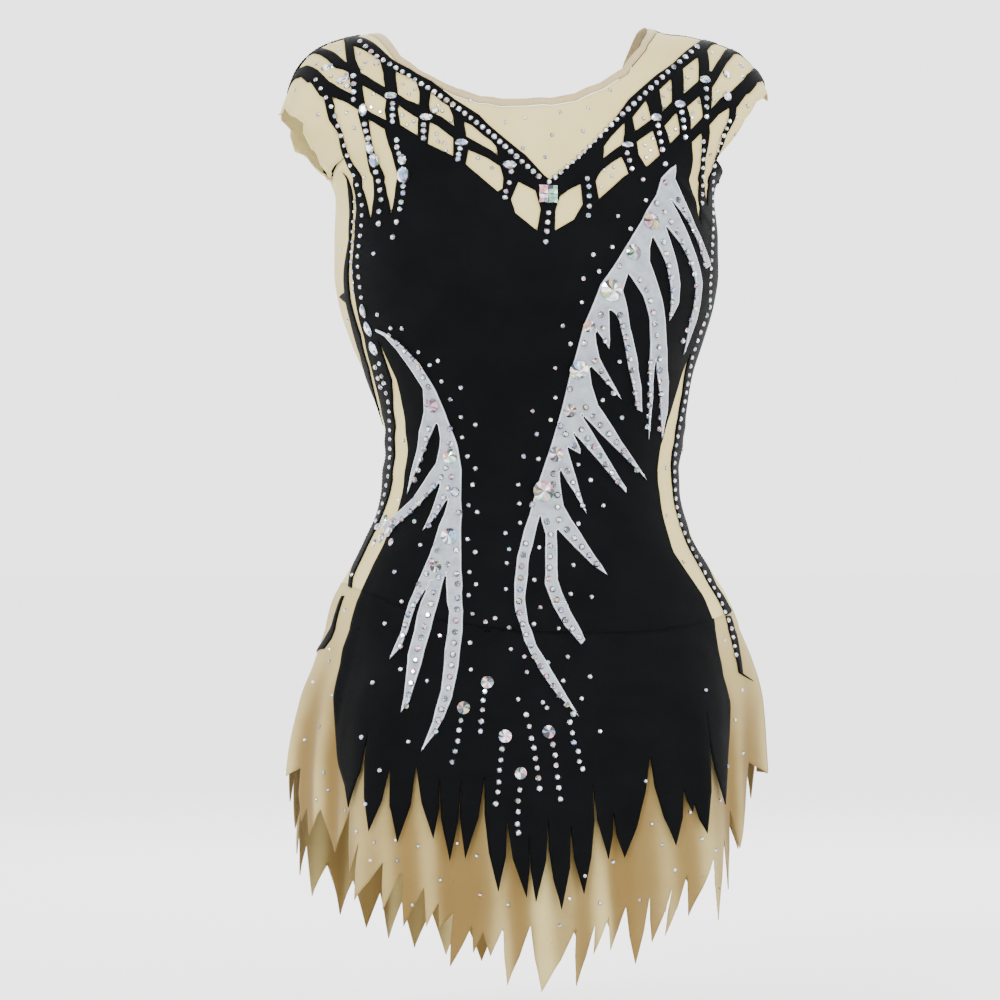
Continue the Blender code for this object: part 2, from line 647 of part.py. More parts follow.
def angle_run(start, end, height_of, step=6.0):
    """Angle and height pairs from one angle to another, in degrees."""
    count = max(math.ceil(abs(end - start) / step), 1)
    angles = [start + (end - start) * k / count for k in range(count + 1)]
    return [(math.radians(a), height_of(a)) for a in angles]


def side_run(angle, start, end, step=24.0):
    """Angle and height pairs straight up or down at one angle."""
    count = max(math.ceil(abs(end - start) / step), 1)
    return [(math.radians(angle), start + (end - start) * k / count)
            for k in range(count + 1)]


def seam_height(angle, above=0.0):
    """Height of the skirt seam at an angle in degrees."""
    wrapped = (angle + 180.0) % 360.0 - 180.0
    return smooth(SEAM, wrapped) + above


def within(run, degrees):
    """Keep a run within an angle either side of the front."""
    limit = math.radians(degrees)
    return [(max(-limit, min(limit, a)), h) for a, h in run]


def mirror_over_shoulder(run):
    """The same run on the back, past the shoulder line."""
    return [(a, 2 * SHOULDER_TOP - h) for a, h in run]


def cap_height(run, top):
    """Keep a run below a height."""
    return [(a, min(h, top)) for a, h in run]


def tongue_run(tongues, bulge):
    """Picture run along a hem of pointed tongues, right to left. Their sides
    bulge by a share of their length, less where a slit is narrow."""
    rows = []
    for i, (tip_x, tip_y, valley_x, valley_y) in enumerate(tongues):
        after = tongues[min(i + 1, len(tongues) - 1)]
        room = abs(tip_x - after[0]) * SLIT_SHARE
        down = math.dist((tip_x, tip_y), (valley_x, valley_y)) * bulge
        up = math.dist((valley_x, valley_y), after[:2]) * bulge
        rows.append((tip_x, tip_y, min(down, room)))
        rows.append((valley_x, valley_y, min(up, room)))
    return rows


def snapped(column, row):
    """Grid place moved onto a row, column or diagonal that is very near."""
    if abs(column - round(column)) < SNAP:
        column = float(round(column))
    if abs(row - round(row)) < SNAP:
        row = float(round(row))
    aside = column + row - round(column + row)
    if abs(aside) < SNAP:
        if column == round(column):
            row -= aside
        else:
            column -= aside
    return column, row


def grid_outline(chart, run):
    """Grid places of a run, without repeats."""
    places = []
    for angle, height in run:
        place = snapped(*chart.to_grid(angle, height))
        if not places or math.dist(place, places[-1]) > SHORTEST_RUN:
            places.append(place)
    while math.dist(places[0], places[-1]) <= SHORTEST_RUN:
        places.pop()
    return places


def filled_sheet(outlines):
    """Flat mesh between an outline and its holes, on the grid plane."""
    curve = bpy.data.curves.new("outline", "CURVE")
    curve.dimensions = "2D"
    curve.fill_mode = "BOTH"
    for places in outlines:
        spline = curve.splines.new("POLY")
        spline.points.add(len(places) - 1)
        for point, (column, row) in zip(spline.points, places):
            point.co = (column, row, 0.0, 1.0)
        spline.use_cyclic_u = True
    holder = bpy.data.objects.new("outline", curve)
    bpy.context.scene.collection.objects.link(holder)
    graph = bpy.context.evaluated_depsgraph_get()
    mesh = bpy.data.meshes.new_from_object(holder.evaluated_get(graph))
    bpy.data.objects.remove(holder, do_unlink=True)
    bpy.data.curves.remove(curve)
    bm = bmesh.new()
    bm.from_mesh(mesh)
    bpy.data.meshes.remove(mesh)
    bmesh.ops.remove_doubles(bm, verts=bm.verts, dist=1e-4)
    return bm


def on_grid_line(edge):
    """Tell whether an edge runs along a row, a column or a diagonal."""
    a, b = (v.co for v in edge.verts)
    for pick in (lambda p: p.x, lambda p: p.y, lambda p: p.x + p.y):
        if (abs(pick(a) - pick(b)) < 1e-4
                and abs(pick(a) - round(pick(a))) < 1e-4):
            return True
    return False


def cut_on_grid(bm):
    """Cut a flat sheet along every row, column and diagonal of the grid."""
    xs = [v.co.x for v in bm.verts]
    ys = [v.co.y for v in bm.verts]
    sums = [v.co.x + v.co.y for v in bm.verts]
    families = (
        ((1, 0, 0), min(xs), max(xs), lambda k: (k, 0, 0)),
        ((0, 1, 0), min(ys), max(ys), lambda k: (0, k, 0)),
        ((1, 1, 0), min(sums), max(sums), lambda k: (k, 0, 0)),
    )
    for normal, low, high, spot in families:
        for k in range(math.floor(low) + 1, math.ceil(high)):
            everything = list(bm.verts) + list(bm.edges) + list(bm.faces)
            bmesh.ops.bisect_plane(bm, geom=everything, dist=1e-4,
                                   plane_co=spot(k), plane_no=normal)
    for edge in bm.edges:
        edge.seam = on_grid_line(edge)
    bmesh.ops.dissolve_limit(bm, angle_limit=math.radians(0.2),
                             verts=list(bm.verts), edges=list(bm.edges),
                             delimit={"SEAM"})
    bmesh.ops.triangulate(bm, faces=list(bm.faces), quad_method="BEAUTY",
                          ngon_method="BEAUTY")


def panel(name, chart, outline, layer, look, holes=(), wall=WALL):
    """Make one cloth panel: outline on the chart, then thickened outward."""
    outlines = [grid_outline(chart, outline)]
    outlines += [grid_outline(chart, hole) for hole in holes]
    bm = filled_sheet(outlines)
    cut_on_grid(bm)
    for vert in bm.verts:
        vert.co = chart.place(vert.co.x, vert.co.y, layer) * MM
    bm.normal_update()
    face = max(bm.faces, key=lambda f: f.calc_area())
    centre = face.calc_center_median()
    inside = Vector((0.0, 0.0, centre.z))
    if face.normal.dot(centre - inside) < 0:
        bmesh.ops.reverse_faces(bm, faces=list(bm.faces))
    mesh = bpy.data.meshes.new(name)
    bm.to_mesh(mesh)
    bm.free()
    mesh.materials.append(material(look))
    obj = bpy.data.objects.new(name, mesh)
    garment().objects.link(obj)
    solid = obj.modifiers.new("cloth", "SOLIDIFY")
    solid.thickness = wall * MM
    solid.offset = 1.0
    return obj


def window_runs():
    """Angle and height outlines of the windows in the black lattice."""
    return [front_run(rows, closed=True) for rows in WINDOWS]


def moved_run(run, distance):
    """A run moved to its left, as seen from outside, by a distance in mm."""
    flat = []
    for angle, height in run:
        folded = min(height, 2 * SHOULDER_TOP - height)
        wide = smooth(TORSO, folded, 2) * math.cos(angle)
        deep = smooth(TORSO, folded, 3) * math.sin(angle)
        flat.append((math.hypot(wide, deep), angle, height))
    moved = []
    for i, (scale, angle, height) in enumerate(flat):
        before = flat[max(i - 1, 0)]
        after = flat[min(i + 1, len(flat) - 1)]
        along = (after[1] - before[1]) * scale
        up = after[2] - before[2]
        length = max(math.hypot(along, up), 1e-9)
        moved.append((angle - up / length * distance / scale,
                      height + along / length * distance))
    return moved


def snap_to_seam(run, index, above=SEAM_GAP):
    """Put one end of a run on the skirt seam."""
    angle = run[index][0]
    run[index] = (angle, seam_height(math.degrees(angle), above))
    return run


def seam_run(start, end, above):
    """Run along the skirt seam between two angles in degrees."""
    return angle_run(start, end, lambda a: seam_height(a, above))


def front_body_outline():
    """Black front: V edge, right side, seam with both slits, left side."""
    right_side = [
        (math.radians(UNDERARM_DEG), SHOULDER_START - 2 * SEAM_GAP)]
    right_side += side_run(FRONT_EDGE, SHOULDER_START - 2 * SEAM_GAP,
                           FRONT_SIDE_END)
    stripe_outer = snap_to_seam(front_run(STRIPE_RIGHT_OUTER), -1)
    slit_right = front_run(WAIST_SLIT_RIGHT)
    snap_to_seam(slit_right, 0)
    snap_to_seam(slit_right, -1)
    slit_left = front_run(WAIST_SLIT_LEFT)
    snap_to_seam(slit_left, 0)
    snap_to_seam(slit_left, -1)
    left_side = snap_to_seam(front_run(FRONT_LEFT), 0)
    seam_front = seam_run(math.degrees(slit_right[-1][0]),
                          math.degrees(slit_left[0][0]), SEAM_GAP)
    run = (front_run(V_EDGE) + front_run(FRONT_RIGHT) + right_side
           + stripe_outer + slit_right + seam_front[1:-1] + slit_left
           + left_side)
    return cap_height(run, SHOULDER_TOP - SEAM_GAP)


def build_yoke(inner):
    """Mesh yoke and the two halves of the neck binding."""
    top = SHOULDER_TOP - SEAM_GAP
    lower = front_run(NECK_INNER)
    yoke_neck = cap_height(lower, top)
    seam_right = armhole(ARMHOLE_SEAM_RIGHT, top)
    seam_left = armhole(ARMHOLE_SEAM_LEFT, top)
    side_left = [(a, max(h, YOKE_BOTTOM))
                 for a, h in front_run(YOKE_SIDE_LEFT)]
    seam_right.append((math.radians(YOKE_SIDE_DEG),
                       level_at(ARMHOLE_SEAM_RIGHT, 1, YOKE_SIDE_DEG)))
    bottom = angle_run(YOKE_SIDE_DEG, math.degrees(side_left[-1][0]),
                       lambda a: YOKE_BOTTOM)
    yoke = (yoke_neck + seam_right + bottom + side_left[::-1]
            + seam_left[::-1])
    panel("yoke_front", inner, yoke, LAYER_NUDE, NUDE)
    upper = cap_height(front_run(NECK), top)
    lower = cap_height(moved_run(lower, 1.5 * SEAM_GAP), top)
    panel("neck_binding_front", inner, upper + lower[::-1], BINDING_INNER,
          NUDE, wall=BINDING_WALL)
    edge = [(math.radians(a), h) for a, h in BACK_NECK]
    outer = moved_run(edge, -BINDING_WIDTH)
    low = SHOULDER_TOP - SEAM_GAP
    binding = [(a, min(h, low)) for a, h in edge + outer[::-1]]
    panel("neck_binding_back", inner, mirror_over_shoulder(binding),
          BINDING_INNER, NUDE, wall=BINDING_WALL)


def build_sleeves(inner):
    """Cap sleeves, each in one piece over the shoulder."""
    for name, seam, hem, side in (
            ("sleeve_left", ARMHOLE_SEAM_LEFT, SLEEVE_HEM_LEFT, -1),
            ("sleeve_right", ARMHOLE_SEAM_RIGHT, SLEEVE_HEM_RIGHT, 1)):
        seam_front = cap_height(moved_run(armhole(seam), side * SEAM_GAP),
                                SHOULDER_TOP)
        hem_front = [(a, max(min(h, SHOULDER_TOP), SHOULDER_START + SLEEVE_LIFT))
                     for a, h in within(front_run(hem), UNDERARM_DEG)]
        if side > 0:
            hem_front = hem_front[::-1]
        front = seam_front + hem_front
        panel(name, inner, front + mirror_over_shoulder(front[::-1]),
              LAYER_NUDE, NUDE)


def armhole(seam, top=SHOULDER_TOP):
    """Front armhole seam, from the shoulder down to the underarm."""
    return cap_height(within(front_run(seam), ARMHOLE_DEG), top)


def armhole_to(seam, degrees):
    """Armhole seam kept up to an angle either side of the front."""
    return [p for p in armhole(seam, SHOULDER_TOP - SEAM_GAP)
            if abs(p[0]) < math.radians(degrees)]


def armhole_line(seam, side):
    """Armhole seam and, past its corner, the line on to the armpit."""
    pit = (side * math.radians(UNDERARM_DEG), SHOULDER_START)
    return armhole(seam) + [pit]


def level_at(seam, side, degrees):
    """Height of the armhole line at an angle either side of the front."""
    line = armhole_line(seam, side)
    want = math.radians(degrees)
    for (a, h), (b, k) in zip(line, line[1:]):
        if abs(a) <= want <= abs(b):
            return h + (k - h) * (want - abs(a)) / (abs(b) - abs(a))
    return line[-1][1]


def underarm_run(seam, side, start):
    """Top edge of a side panel, from an angle at the front under the arm to
    the back seam."""
    clear = 2 * SEAM_GAP
    stops = (start, UNDERARM_DEG)
    points = [(side * math.radians(a), level_at(seam, side, a) - clear)
              for a in stops]
    edge = 180 - BACK_SEAM
    points += [(side * math.radians(180 - a), level_at(seam, side, a) - clear)
               for a in (UNDERARM_DEG, edge)]
    return points


def build_sides(inner):
    """Mesh side panels from the underarm to the skirt seam."""
    corner = math.degrees(abs(front_run(YOKE_SIDE_LEFT)[0][0])) + CORNER_LEFT_DEG
    top = underarm_run(ARMHOLE_SEAM_LEFT, -1, corner)
    front = (moved_run(front_run(YOKE_SIDE_LEFT[1:]), -SEAM_GAP)
             + snap_to_seam(front_run(SIDE_LEFT_FRONT), -1))
    seam = seam_run(math.degrees(front[-1][0]), -BACK_SEAM, SEAM_GAP)
    back = side_run(-BACK_SEAM, seam[-1][1], top[-1][1])[1:-1]
    panel("side_left", inner, front + seam[1:] + back + top[::-1],
          LAYER_NUDE, NUDE)
    top = underarm_run(ARMHOLE_SEAM_RIGHT, 1, YOKE_SIDE_DEG + CORNER_RIGHT_DEG)
    front = snap_to_seam(front_run(SIDE_RIGHT_FRONT), 0)
    upper = [(top[0][0], YOKE_SIDE_END), (top[0][0], YOKE_BOTTOM)]
    seam = seam_run(BACK_SEAM, math.degrees(front[0][0]), SEAM_GAP)
    back = side_run(BACK_SEAM, top[-1][1], seam[0][1])[1:-1]
    panel("side_right", inner, top + back + seam[:-1] + front + upper,
          LAYER_NUDE, NUDE)
    panel("side_line_left", inner, front_run(SIDE_LINE_LEFT, True),
          LAYER_BLACK, BLACK)


def back_body_outline():
    """Black back, from the shoulders to the skirt seam, with a low neck."""
    edge = [(math.radians(a), h) for a, h in BACK_NECK]
    neck = moved_run(edge, -(BINDING_WIDTH + SEAM_GAP))
    right = moved_run(armhole_to(ARMHOLE_SEAM_RIGHT, BACK_EDGE - BACK_INSET_DEG), UNDERLAP)
    left = moved_run(armhole_to(ARMHOLE_SEAM_LEFT, BACK_EDGE - BACK_INSET_DEG), -UNDERLAP)
    corner_right = level_at(ARMHOLE_SEAM_RIGHT, 1, BACK_EDGE)
    corner_left = level_at(ARMHOLE_SEAM_LEFT, -1, BACK_EDGE)
    seam = [(math.radians(180 - a), seam_height(a, SEAM_GAP))
            for a in range(int(180 - BACK_EDGE), int(181 + BACK_EDGE), 10)]
    side_right = side_run(BACK_EDGE, corner_right, seam[0][1])
    side_left = side_run(-BACK_EDGE, seam[-1][1], corner_left)
    run = (neck + right + side_right + seam[1:-1] + side_left + left[::-1])
    return mirror_over_shoulder(cap_height(run, SHOULDER_TOP - SEAM_GAP))


def build_skirts(inner, outer):
    """Black over-skirt and the front and back of the mesh skirt."""
    left = snap_to_seam(front_run(BLACK_SKIRT_LEFT), -1, 0.0)
    right = snap_to_seam(front_run(BLACK_SKIRT_RIGHT), 0, 0.0)
    top = seam_run(math.degrees(left[-1][0]), math.degrees(right[0][0]), 0.0)
    hem = front_run(tongue_run(BLACK_TONGUES, BLACK_BULGE))
    panel("skirt_black", outer, top[1:] + right[1:-1] + hem + left[1:],
          LAYER_BLACK, BLACK)
    side_l = math.degrees(front_run(SIDE_LEFT_FRONT)[-1][0]) + STEP_DEG
    side_r = math.degrees(front_run(SIDE_RIGHT_FRONT)[0][0]) - STEP_DEG
    hem = within(front_run(tongue_run(NUDE_TONGUES, NUDE_BULGE)), SIDE_SEAM)
    top = (seam_run(-SIDE_SEAM, side_l, 0.0)
           + seam_run(side_l, side_r, UNDERLAP)
           + seam_run(side_r, SIDE_SEAM, 0.0))
    right = side_run(SIDE_SEAM, top[-1][1], hem[0][1])[1:]
    left = side_run(-SIDE_SEAM, hem[-1][1], top[0][1])[1:-1]
    panel("skirt_nude_front", inner, top + right + hem + left, LAYER_NUDE,
          NUDE)
    start, end = 180 - SIDE_SEAM, 180 + SIDE_SEAM
    behind_back = BACK_SEAM + 1
    top = (seam_run(end, 360 - behind_back, 0.0)
           + seam_run(360 - behind_back, behind_back, UNDERLAP)
           + seam_run(behind_back, start, 0.0))
    hem = []
    count = round((end - start) / BACK_TONGUE_DEG)
    for i in range(count * 2 + 1):
        angle = start + (end - start) * i / (count * 2)
        middle = smooth(BACK_HEM, angle)
        swing = BACK_TONGUE_DEPTH / 2 * (1 if i % 2 == 0 else -1)
        hem.append((math.radians(angle), middle + swing))
    right = side_run(start, top[-1][1], hem[0][1])[1:-1]
    left = side_run(end, hem[-1][1], top[0][1])[1:-1]
    panel("skirt_nude_back", inner, top + right + hem + left, LAYER_NUDE,
          NUDE)
    for name, rows in (("stripe_end_left", STRIPE_END_LEFT),
                       ("stripe_end_right", STRIPE_END_RIGHT)):
        run = front_run(rows, True)
        run = [(a, min(h, seam_height(math.degrees(a)))) for a, h in run]
        panel(name, inner, run, LAYER_BLACK, BLACK)


def build_brief(chart):
    """Brief under the skirts, front and back, joined at the crotch."""
    for name, turn in (("brief_front", 0.0), ("brief_back", 180.0)):
        top = seam_run(turn - SIDE_SEAM, turn + SIDE_SEAM, UNDERLAP)
        heights = [LEG[0][0] - k * LEG_STEP for k in range(LEG_STEPS)]
        heights.append(CROTCH_END + LEG_CLEAR)
        right = [(math.radians(turn + smooth(LEG, h)), h) for h in heights]
        left = [(math.radians(turn - smooth(LEG, h)), h)
                for h in heights[::-1]]
        panel(name, chart, top + right + left, LAYER_BRIEF, NUDE)


def stone(name, chart, x_pixel, y_pixel, size_pixel, layer, sides, turn):
    """Faceted stone on a layer, base just clear of the curved cloth."""
    column, row = chart.to_grid(*picture_to_body(x_pixel, y_pixel))
    radius = size_pixel * MM_PER_PIXEL / 2
    hollow = SKIRT_HOLLOW if y_pixel > SKIRT_TOP_PIXEL else BODY_HOLLOW
    inner = radius * math.cos(math.pi / sides)
    out = layer + WALL + SEAM_GAP + inner**2 / hollow
    centre = chart.place(column, row, out)
    above = chart.place(column, row, out + STONE_AXIS)
    turned = (above - centre).to_track_quat("Z", "Y").to_matrix().to_4x4()
    height = radius * 2 * STONE_HEIGHT_SHARE
    bm = bmesh.new()
    bmesh.ops.create_cone(
        bm, cap_ends=True, segments=sides, radius1=radius * MM,
        radius2=radius * STONE_TABLE_SHARE * MM, depth=height * MM,
        matrix=(Matrix.Translation(centre * MM) @ turned
                @ Matrix.Rotation(turn, 4, "Z")
                @ Matrix.Translation((0, 0, height / 2 * MM))))
    mesh = bpy.data.meshes.new(name)
    bm.to_mesh(mesh)
    bm.free()
    mesh.materials.append(material(CRYSTAL))
    obj = bpy.data.objects.new(name, mesh)
    garment().objects.link(obj)


def build_stones(outer):
    """The large stones: two rows on the flames, a few on the skirt, and the
    square one at the point of the V."""
    counts = {}
    for place, x, y, size, layer in STONES:
        counts[place] = counts.get(place, 0) + 1
        stone(f"stone_{place}_{counts[place]}", outer, x, y, size, layer,
              STONE_SIDES, 0.0)
    x, y, size = NECK_STONE
    stone("stone_neck", outer, x, y, size * math.sqrt(2), LAYER_BLACK, 4,
          math.radians(45 + NECK_STONE_TURN))


def build_all():
    """Make every piece of the leotard."""
    clear_scene()
    inner = Chart(cloth_point, UPPER_ROWS + SKIRT_ROWS)
    outer = Chart(cloth_point, UPPER_ROWS + SKIRT_ROWS, SKIRT_STAND)
    body = Chart(body_point, UPPER_ROWS + BRIEF_ROWS)
    build_yoke(inner)
    build_sleeves(inner)
    build_sides(inner)
    panel("front_body", outer, front_body_outline(), LAYER_BLACK, BLACK,
          holes=window_runs())
    panel("back_body", outer, back_body_outline(), LAYER_BLACK, BLACK)
    build_skirts(inner, outer)
    build_brief(body)
    panel("flame_right", outer, front_run(FLAME_RIGHT, True), LAYER_WHITE,
          WHITE)
    panel("flame_left", outer, front_run(FLAME_LEFT, True), LAYER_WHITE,
          WHITE)
    build_stones(outer)


build_all()
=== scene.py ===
"""Looks of a short-sleeved gymnastics leotard: thin cloth shells with folds
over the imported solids, seams, stitching and stones, and a plain studio."""
import math

import bmesh
import bpy
import numpy as np
from mathutils import Matrix, Vector
from mathutils.bvhtree import BVHTree
from mathutils.kdtree import KDTree


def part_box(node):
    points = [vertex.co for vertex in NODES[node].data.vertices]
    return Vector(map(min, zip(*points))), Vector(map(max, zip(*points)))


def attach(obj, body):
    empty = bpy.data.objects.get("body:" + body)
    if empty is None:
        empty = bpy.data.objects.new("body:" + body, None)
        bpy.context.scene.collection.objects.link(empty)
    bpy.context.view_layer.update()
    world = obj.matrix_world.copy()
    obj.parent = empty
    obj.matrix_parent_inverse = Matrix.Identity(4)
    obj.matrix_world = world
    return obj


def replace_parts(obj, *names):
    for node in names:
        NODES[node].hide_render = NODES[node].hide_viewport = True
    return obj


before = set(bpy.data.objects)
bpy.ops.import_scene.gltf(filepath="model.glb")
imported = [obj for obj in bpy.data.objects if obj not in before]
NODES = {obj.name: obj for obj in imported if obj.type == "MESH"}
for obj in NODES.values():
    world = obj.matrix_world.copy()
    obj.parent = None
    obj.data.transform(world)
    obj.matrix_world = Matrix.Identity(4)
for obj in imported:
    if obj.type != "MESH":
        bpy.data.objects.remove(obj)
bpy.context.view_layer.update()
MM = 0.001

# Body surface that all cloth follows: height, middle, half width, front
# depth, back depth (mm)
TORSO = (
    (42, -4.0, 226, 84, 72),
    (-10, -4.0, 224, 88, 75),
    (-62, -4.0, 212, 93, 80),
    (-90, -4.5, 187, 95, 83),
    (-107, -5.0, 166, 97, 84),
    (-118, -5.0, 154, 99, 85),
    (-132, -4.0, 150.5, 103, 84),
    (-164, -3.0, 152.5, 112, 83),
    (-190, -3.0, 152.5, 117, 82),
    (-212, -3.0, 149.5, 116, 79),
    (-248, -2.5, 139, 106, 73),
    (-270, -1.0, 130.5, 98, 68),
    (-295, 2.0, 123, 91, 64),
    (-316, 4.0, 118.5, 87, 61),
    (-340, 2.5, 117, 85, 60),
    (-362, 1.0, 117.5, 85, 62),
    (-380, 1.0, 120.5, 86, 66),
    (-408, 0.5, 132.5, 91, 78),
    (-432, 1.0, 147, 95, 90),
    (-452, 1.5, 158.5, 98, 99),
    (-475, 3.0, 165.5, 104, 108),
    (-500, 2.5, 168, 105, 112),
    (-640, 2.5, 168, 105, 112),
)
# the skirts flare below the seam; the last column is the flutes' depth
SKIRT = (
    (-475, 3.0, 165.5, 104, 108, 0.0),
    (-500, 3.5, 174.5, 112, 117, 1.5),
    (-532, 1.5, 184, 121, 128, 3.0),
    (-576, -1.5, 188.5, 128, 136, 4.5),
    (-640, -2.0, 191, 135, 142, 6.0),
    (-700, -2.0, 193, 140, 147, 7.0),
    (-790, -2.0, 195, 146, 153, 8.0),
)
# level of the shoulder line by the distance from the middle (mm)
SHOULDER_LINE = (
    (0, 44), (60, 27), (100, 4), (112, 0), (125, -1), (140, -4),
    (150, -6.5), (165, -12), (175, -18.5), (185, -30), (190, -41),
    (196, -56), (200, -66), (240, -66),
)
# how far the upper layers stand off the skirts, by height (mm)
SKIRT_STAND = ((-790, 6.0), (-650, 5.0), (-560, 3.0), (-500, 0.8),
               (-475, 0.0))
STANDING = ("front_body", "back_body", "skirt_black", "flame_right",
            "flame_left")
FRONT_FLATNESS = 0.18
SHOULDER_START = -118.0
SHOULDER_TOP = 42.0
CROTCH_START = -500.0
CROTCH_END = -630.0
CROTCH_LEVEL = -610.0
SKIRT_START = -475.0
SHOULDER_RISE = SHOULDER_TOP - SHOULDER_START
CROTCH_DROP = CROTCH_START - CROTCH_END
FLUTES = 9
FLUTE_PHASE = 0.6
# the shoulder's round outer end starts at this sine of the angle
ROUND_FROM, ROUND_SPAN, ROUND_RISE = 0.84, 0.1, 6.0
HUB_ACROSS, HUB_LEVEL = 110.0, -88.0
ANGLE_STEP, HEIGHT_STEP = 0.01, 1.5
UNWRAP_ROUNDS = 4

# Cloth pieces: level of the outer face above the body surface (mm), look,
# width and length (m) and area (m2) of the cut, and what it rests on
NUDE_TOP = 1.0
BLACK_TOP = 2.35
WHITE_TOP = 3.7
BRIEF_TOP = -0.4
CLOTH = {
    "yoke_front": (NUDE_TOP, "nude", 0.36, 0.19, 0.050),
    "sleeve_left": (NUDE_TOP, "nude", 0.07, 0.13, 0.0056),
    "sleeve_right": (NUDE_TOP, "nude", 0.06, 0.13, 0.003),
    "side_left": (NUDE_TOP, "nude", 0.13, 0.35, 0.029),
    "side_right": (NUDE_TOP, "nude", 0.15, 0.37, 0.034),
    "neck_binding_front": (NUDE_TOP, "binding", 0.012, 0.29, 0.0021),
    "neck_binding_back": (NUDE_TOP, "binding", 0.012, 0.40, 0.0027),
    "front_body": (BLACK_TOP, "black", 0.40, 0.50, 0.132),
    "back_body": (BLACK_TOP, "black", 0.40, 0.48, 0.122),
    "side_line_left": (BLACK_TOP, "black", 0.012, 0.22, 0.0017, "side_left"),
    "skirt_black": (BLACK_TOP, "black", 0.36, 0.25, 0.051, "front_body"),
    "skirt_nude_front": (NUDE_TOP, "sheer", 0.50, 0.33, 0.10, "front_body"),
    "skirt_nude_back": (NUDE_TOP, "sheer", 0.50, 0.33, 0.12, "back_body"),
    "stripe_end_left": (BLACK_TOP, "black", 0.012, 0.055, 0.0004,
                        "skirt_nude_front"),
    "stripe_end_right": (BLACK_TOP, "black", 0.012, 0.05, 0.0004,
                         "skirt_nude_front"),
    "brief_front": (BRIEF_TOP, "nude", 0.40, 0.19, 0.045),
    "brief_back": (BRIEF_TOP, "nude", 0.42, 0.19, 0.053),
    "flame_right": (WHITE_TOP, "white", 0.10, 0.46, 0.0142, "front_body"),
    "flame_left": (WHITE_TOP, "white", 0.07, 0.34, 0.0072, "front_body"),
}
WALL, BINDING_WALL = 0.85, 1.25
WELD, LONGEST_EDGE, MOST_LIFT = 0.004, 4.2, 2.5
BRIEF_FOLDS = 0.4
FLAT_RADIUS = 0.84
SPLIT_ROUNDS, SNAP_ROUNDS = 6, 2
EVEN_ROUNDS, EVEN_PULL, RIM_KEPT = 14, 0.6, 0.1
# edges slid under their neighbours, and how far (mm)
TUCKED = {
    "skirt_black": ("front_body",), "side_left": ("sleeve_left",),
    "side_right": ("sleeve_right",),
    "skirt_nude_front": ("side_right", "side_left"),
    "skirt_nude_back": ("back_body", "side_right", "side_left"),
}
TUCK_FROM, TUCK_NEAR, TUCK_UP, TUCK_IN = 2.5, 1.2, 1.8, 0.5
# least cosine between an outer face and the outward direction
FACING, ROUND_FACING = 0.35, 0.12
# rolled edges: width and depth (mm)
SOFT_EDGE = {"nude": (1.4, 0.25), "binding": (2.6, 0.55),
             "black": (1.2, 0.2), "sheer": (1.0, 0.2), "white": (2.6, 0.6)}

# Picture frame: one pixel is 0.8 mm at the garment
MM_PER_PIXEL = 0.8
PICTURE_CENTRE = 500.0
YAW = math.radians(9.0)
EYE_ACROSS, EYE_LEVEL, EYE_DISTANCE = -23.2, -372.0, 5000.0
LENS = 225.0


# Body surface
def read(table, where, column=1):
    """Table column read along a smooth curve that never overshoots."""
    rows = sorted(table)
    x = np.array([row[0] for row in rows], float)
    y = np.array([row[column] for row in rows], float)
    d = np.diff(y) / np.diff(x)
    m = np.concatenate(([d[0]], np.zeros(len(x) - 2), [d[-1]]))
    same = d[:-1] * d[1:] > 0
    total = np.where(same, d[:-1] + d[1:], 1.0)
    m[1:-1] = np.where(same, 2 * d[:-1] * d[1:] / total, 0.0)
    where = np.clip(where, x[0], x[-1])
    i = np.clip(np.searchsorted(x, where, side="right") - 1, 0, len(x) - 2)
    span = x[i + 1] - x[i]
    t = (where - x[i]) / span
    return (y[i] * (2 * t**3 - 3 * t**2 + 1)
            + m[i] * span * (t**3 - 2 * t**2 + t)
            + y[i + 1] * (3 * t**2 - 2 * t**3)
            + m[i + 1] * span * (t**3 - t**2))


def body_surface(angle, height):
    """Points of the body surface (mm)."""
    over = height > SHOULDER_TOP
    under = height < CROTCH_END
    height = np.where(over, 2 * SHOULDER_TOP - height, height)
    height = np.where(under, 2 * CROTCH_END - height, height)
    x = read(TORSO, height, 1) + read(TORSO, height, 2) * np.sin(angle)
    cosine = np.cos(angle) * (1 + FRONT_FLATNESS * np.sin(angle)**2)
    turn = (np.clip((height - SHOULDER_START) / SHOULDER_RISE, 0, 1)
            * np.pi / 2)
    dip = np.clip((CROTCH_START - height) / CROTCH_DROP, 0, 1) * np.pi / 2
    level = np.where(height > SHOULDER_START, SHOULDER_START
                     + (read(SHOULDER_LINE, np.abs(x)) - SHOULDER_START)
                     * np.sin(turn), height)
    level = np.where(height < CROTCH_START, CROTCH_START
                     + (CROTCH_LEVEL - CROTCH_START) * np.sin(dip), level)
    behind = (over | under) != (cosine < 0)
    depth = np.where(behind, read(TORSO, height, 4), read(TORSO, height, 3))
    y = (np.abs(cosine) * np.cos(turn) * np.cos(dip) * depth
         * np.where(behind, 1, -1))
    return np.stack((x, y, level), -1)


def skirt_surface(angle, height):
    """Points of the skirts' surface (mm), flutes left out."""
    x = read(SKIRT, height, 1) + read(SKIRT, height, 2) * np.sin(angle)
    cosine = np.cos(angle) * (1 + FRONT_FLATNESS * np.sin(angle)**2)
    depth = np.where(cosine > 0, read(SKIRT, height, 3),
                     read(SKIRT, height, 4))
    return np.stack((x, -depth * cosine, height), -1)


def surface(angle, height, brief=False):
    """Body above the seam, skirts below it."""
    if brief:
        return body_surface(angle, height)
    low = (height < SKIRT_START)[:, None]
    return np.where(low, skirt_surface(angle, height),
                    body_surface(angle, height))


